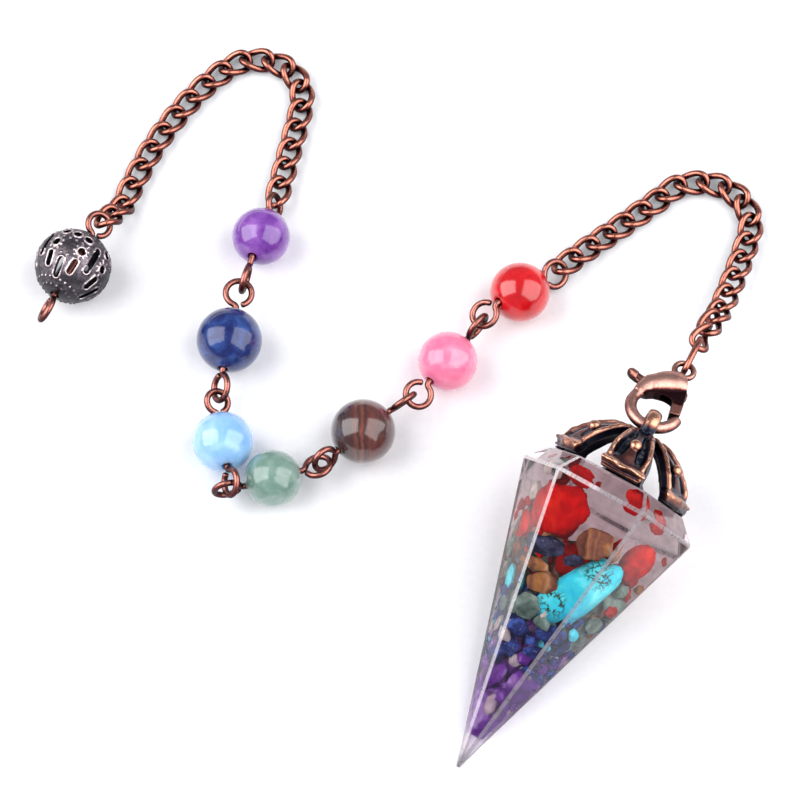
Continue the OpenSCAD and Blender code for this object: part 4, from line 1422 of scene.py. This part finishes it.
def make_camera():
    """Camera of the photograph's view."""
    camera = bpy.data.objects.new("camera", bpy.data.cameras.new("camera"))
    camera.data.lens = CAMERA_LENS
    camera.data.sensor_width = CAMERA_SENSOR
    camera.data.clip_start = NEAREST_SEEN * MM
    camera.data.clip_end = FARTHEST_SEEN * MM
    look_from(camera, 0, CAMERA_ELEVATION, CAMERA_DISTANCE, TARGET)
    bpy.context.scene.camera = camera
    bpy.context.scene.view_settings.view_transform = "Standard"


def make_metals():
    """Chains, wires, jump ring, cap, clasp and pierced ball."""
    chain = antique_metal(
        "chain_copper", (0.66, 0.235, 0.165), (0.17, 0.035, 0.03), (0.04, 0.007, 0.01),
        opens=(0.38, 1.0), reach=0.7, rough=0.22, tarnish=0.2)
    bent = antique_metal(
        "wire_copper", (0.50, 0.19, 0.15), (0.13, 0.03, 0.03), (0.035, 0.007, 0.011),
        opens=(0.38, 1.0), reach=0.7, rough=0.25, tarnish=0.25)
    clasp = antique_metal(
        "clasp_copper", (0.84, 0.46, 0.37), (0.30, 0.10, 0.08), (0.03, 0.01, 0.012),
        opens=(0.4, 1.0), reach=1.2, rough=0.32, tarnish=0.4, marked=True)
    lever = antique_metal(
        "lever_copper", (0.50, 0.21, 0.16), (0.11, 0.04, 0.035), (0.01, 0.008, 0.012),
        opens=(0.45, 1.05), reach=1.2, rough=0.34, tarnish=0.3)
    cap = antique_metal(
        "cap_copper", (0.82, 0.40, 0.25), (0.22, 0.07, 0.045), (0.008, 0.011, 0.03),
        opens=(0.28, 0.95), reach=0.9, rough=0.22, tarnish=0.3, marked=True, coat=0.5)
    silver = antique_metal(
        "dark_silver", (0.85, 0.72, 0.72), (0.20, 0.17, 0.19), (0.045, 0.04, 0.05),
        opens=(0.32, 0.95), reach=0.8, rough=0.26, tarnish=0.55, marked=True)
    make_links("pendant_chain", "pendant_chain_links", CHAIN_LINK, chain)
    make_links("ball_chain", "ball_chain_links", CHAIN_LINK, chain)
    make_links("jump_ring", "jump_ring_wire", JUMP_RING, chain)
    for name in BEADS:
        make_wire(name, bent)
    make_clasp(clasp)
    make_lever(lever)
    make_cap(cap)
    make_pierced_ball(silver)


def make_beads():
    """The seven round beads."""
    stones = {name: bead_stone(name + "_bead_stone", *row) for name, row in BEAD_STONES.items()}
    across, _, size, *_ = BEADS["tiger_eye"]
    with_belts(stones["tiger_eye"], across - MIDDLE_X, size / 2, 0.2, *BEAD_BELTS)
    with_flecks(stones["lapis"], 0.35, (0.3, 0.32, 0.36), 0.66, 0.74)
    stones["lapis"].set({"Coat Weight": 0.4})
    with_flecks(stones["aventurine"], 0.5, (0.05, 0.09, 0.07), 0.76, 0.8)
    for name, paint in stones.items():
        make_bead(name, paint.material)


def make_sunk_stones():
    """The stones in the resin."""
    stones = {name: sunk_stone(name + "_stone", *row) for name, row in SUNK_STONES.items()}
    with_bands(stones["tiger_eye"], 3.0, 1.5, *SUNK_BANDS)
    with_shade(stones["lapis"], 27.0, 29.5, (0.9, 0.5, 0.28))
    ends = [ALONG_CONE @ Vector(at) for at in VEINED_ENDS]
    with_veins(stones["turquoise"], 0.8, 0.16, (0.04, 0.045, 0.015), ends, 1.3, 2.3)
    with_flecks(stones["turquoise"], 0.22, (0.03, 0.12, 0.12), 0.7, 0.74)
    with_flecks(stones["lapis"], 0.6, (0.22, 0.28, 0.42), 0.6, 0.7)
    chips = chip_places()
    for number, row in enumerate(SPLINTERS):
        make_chips(number, stones[row[0]].material, chips)


make_floor()
make_lights()
make_camera()
make_metals()
make_beads()
make_sunk_stones()
make_cone(clear_resin(), scuffed_resin_with_painted_light())
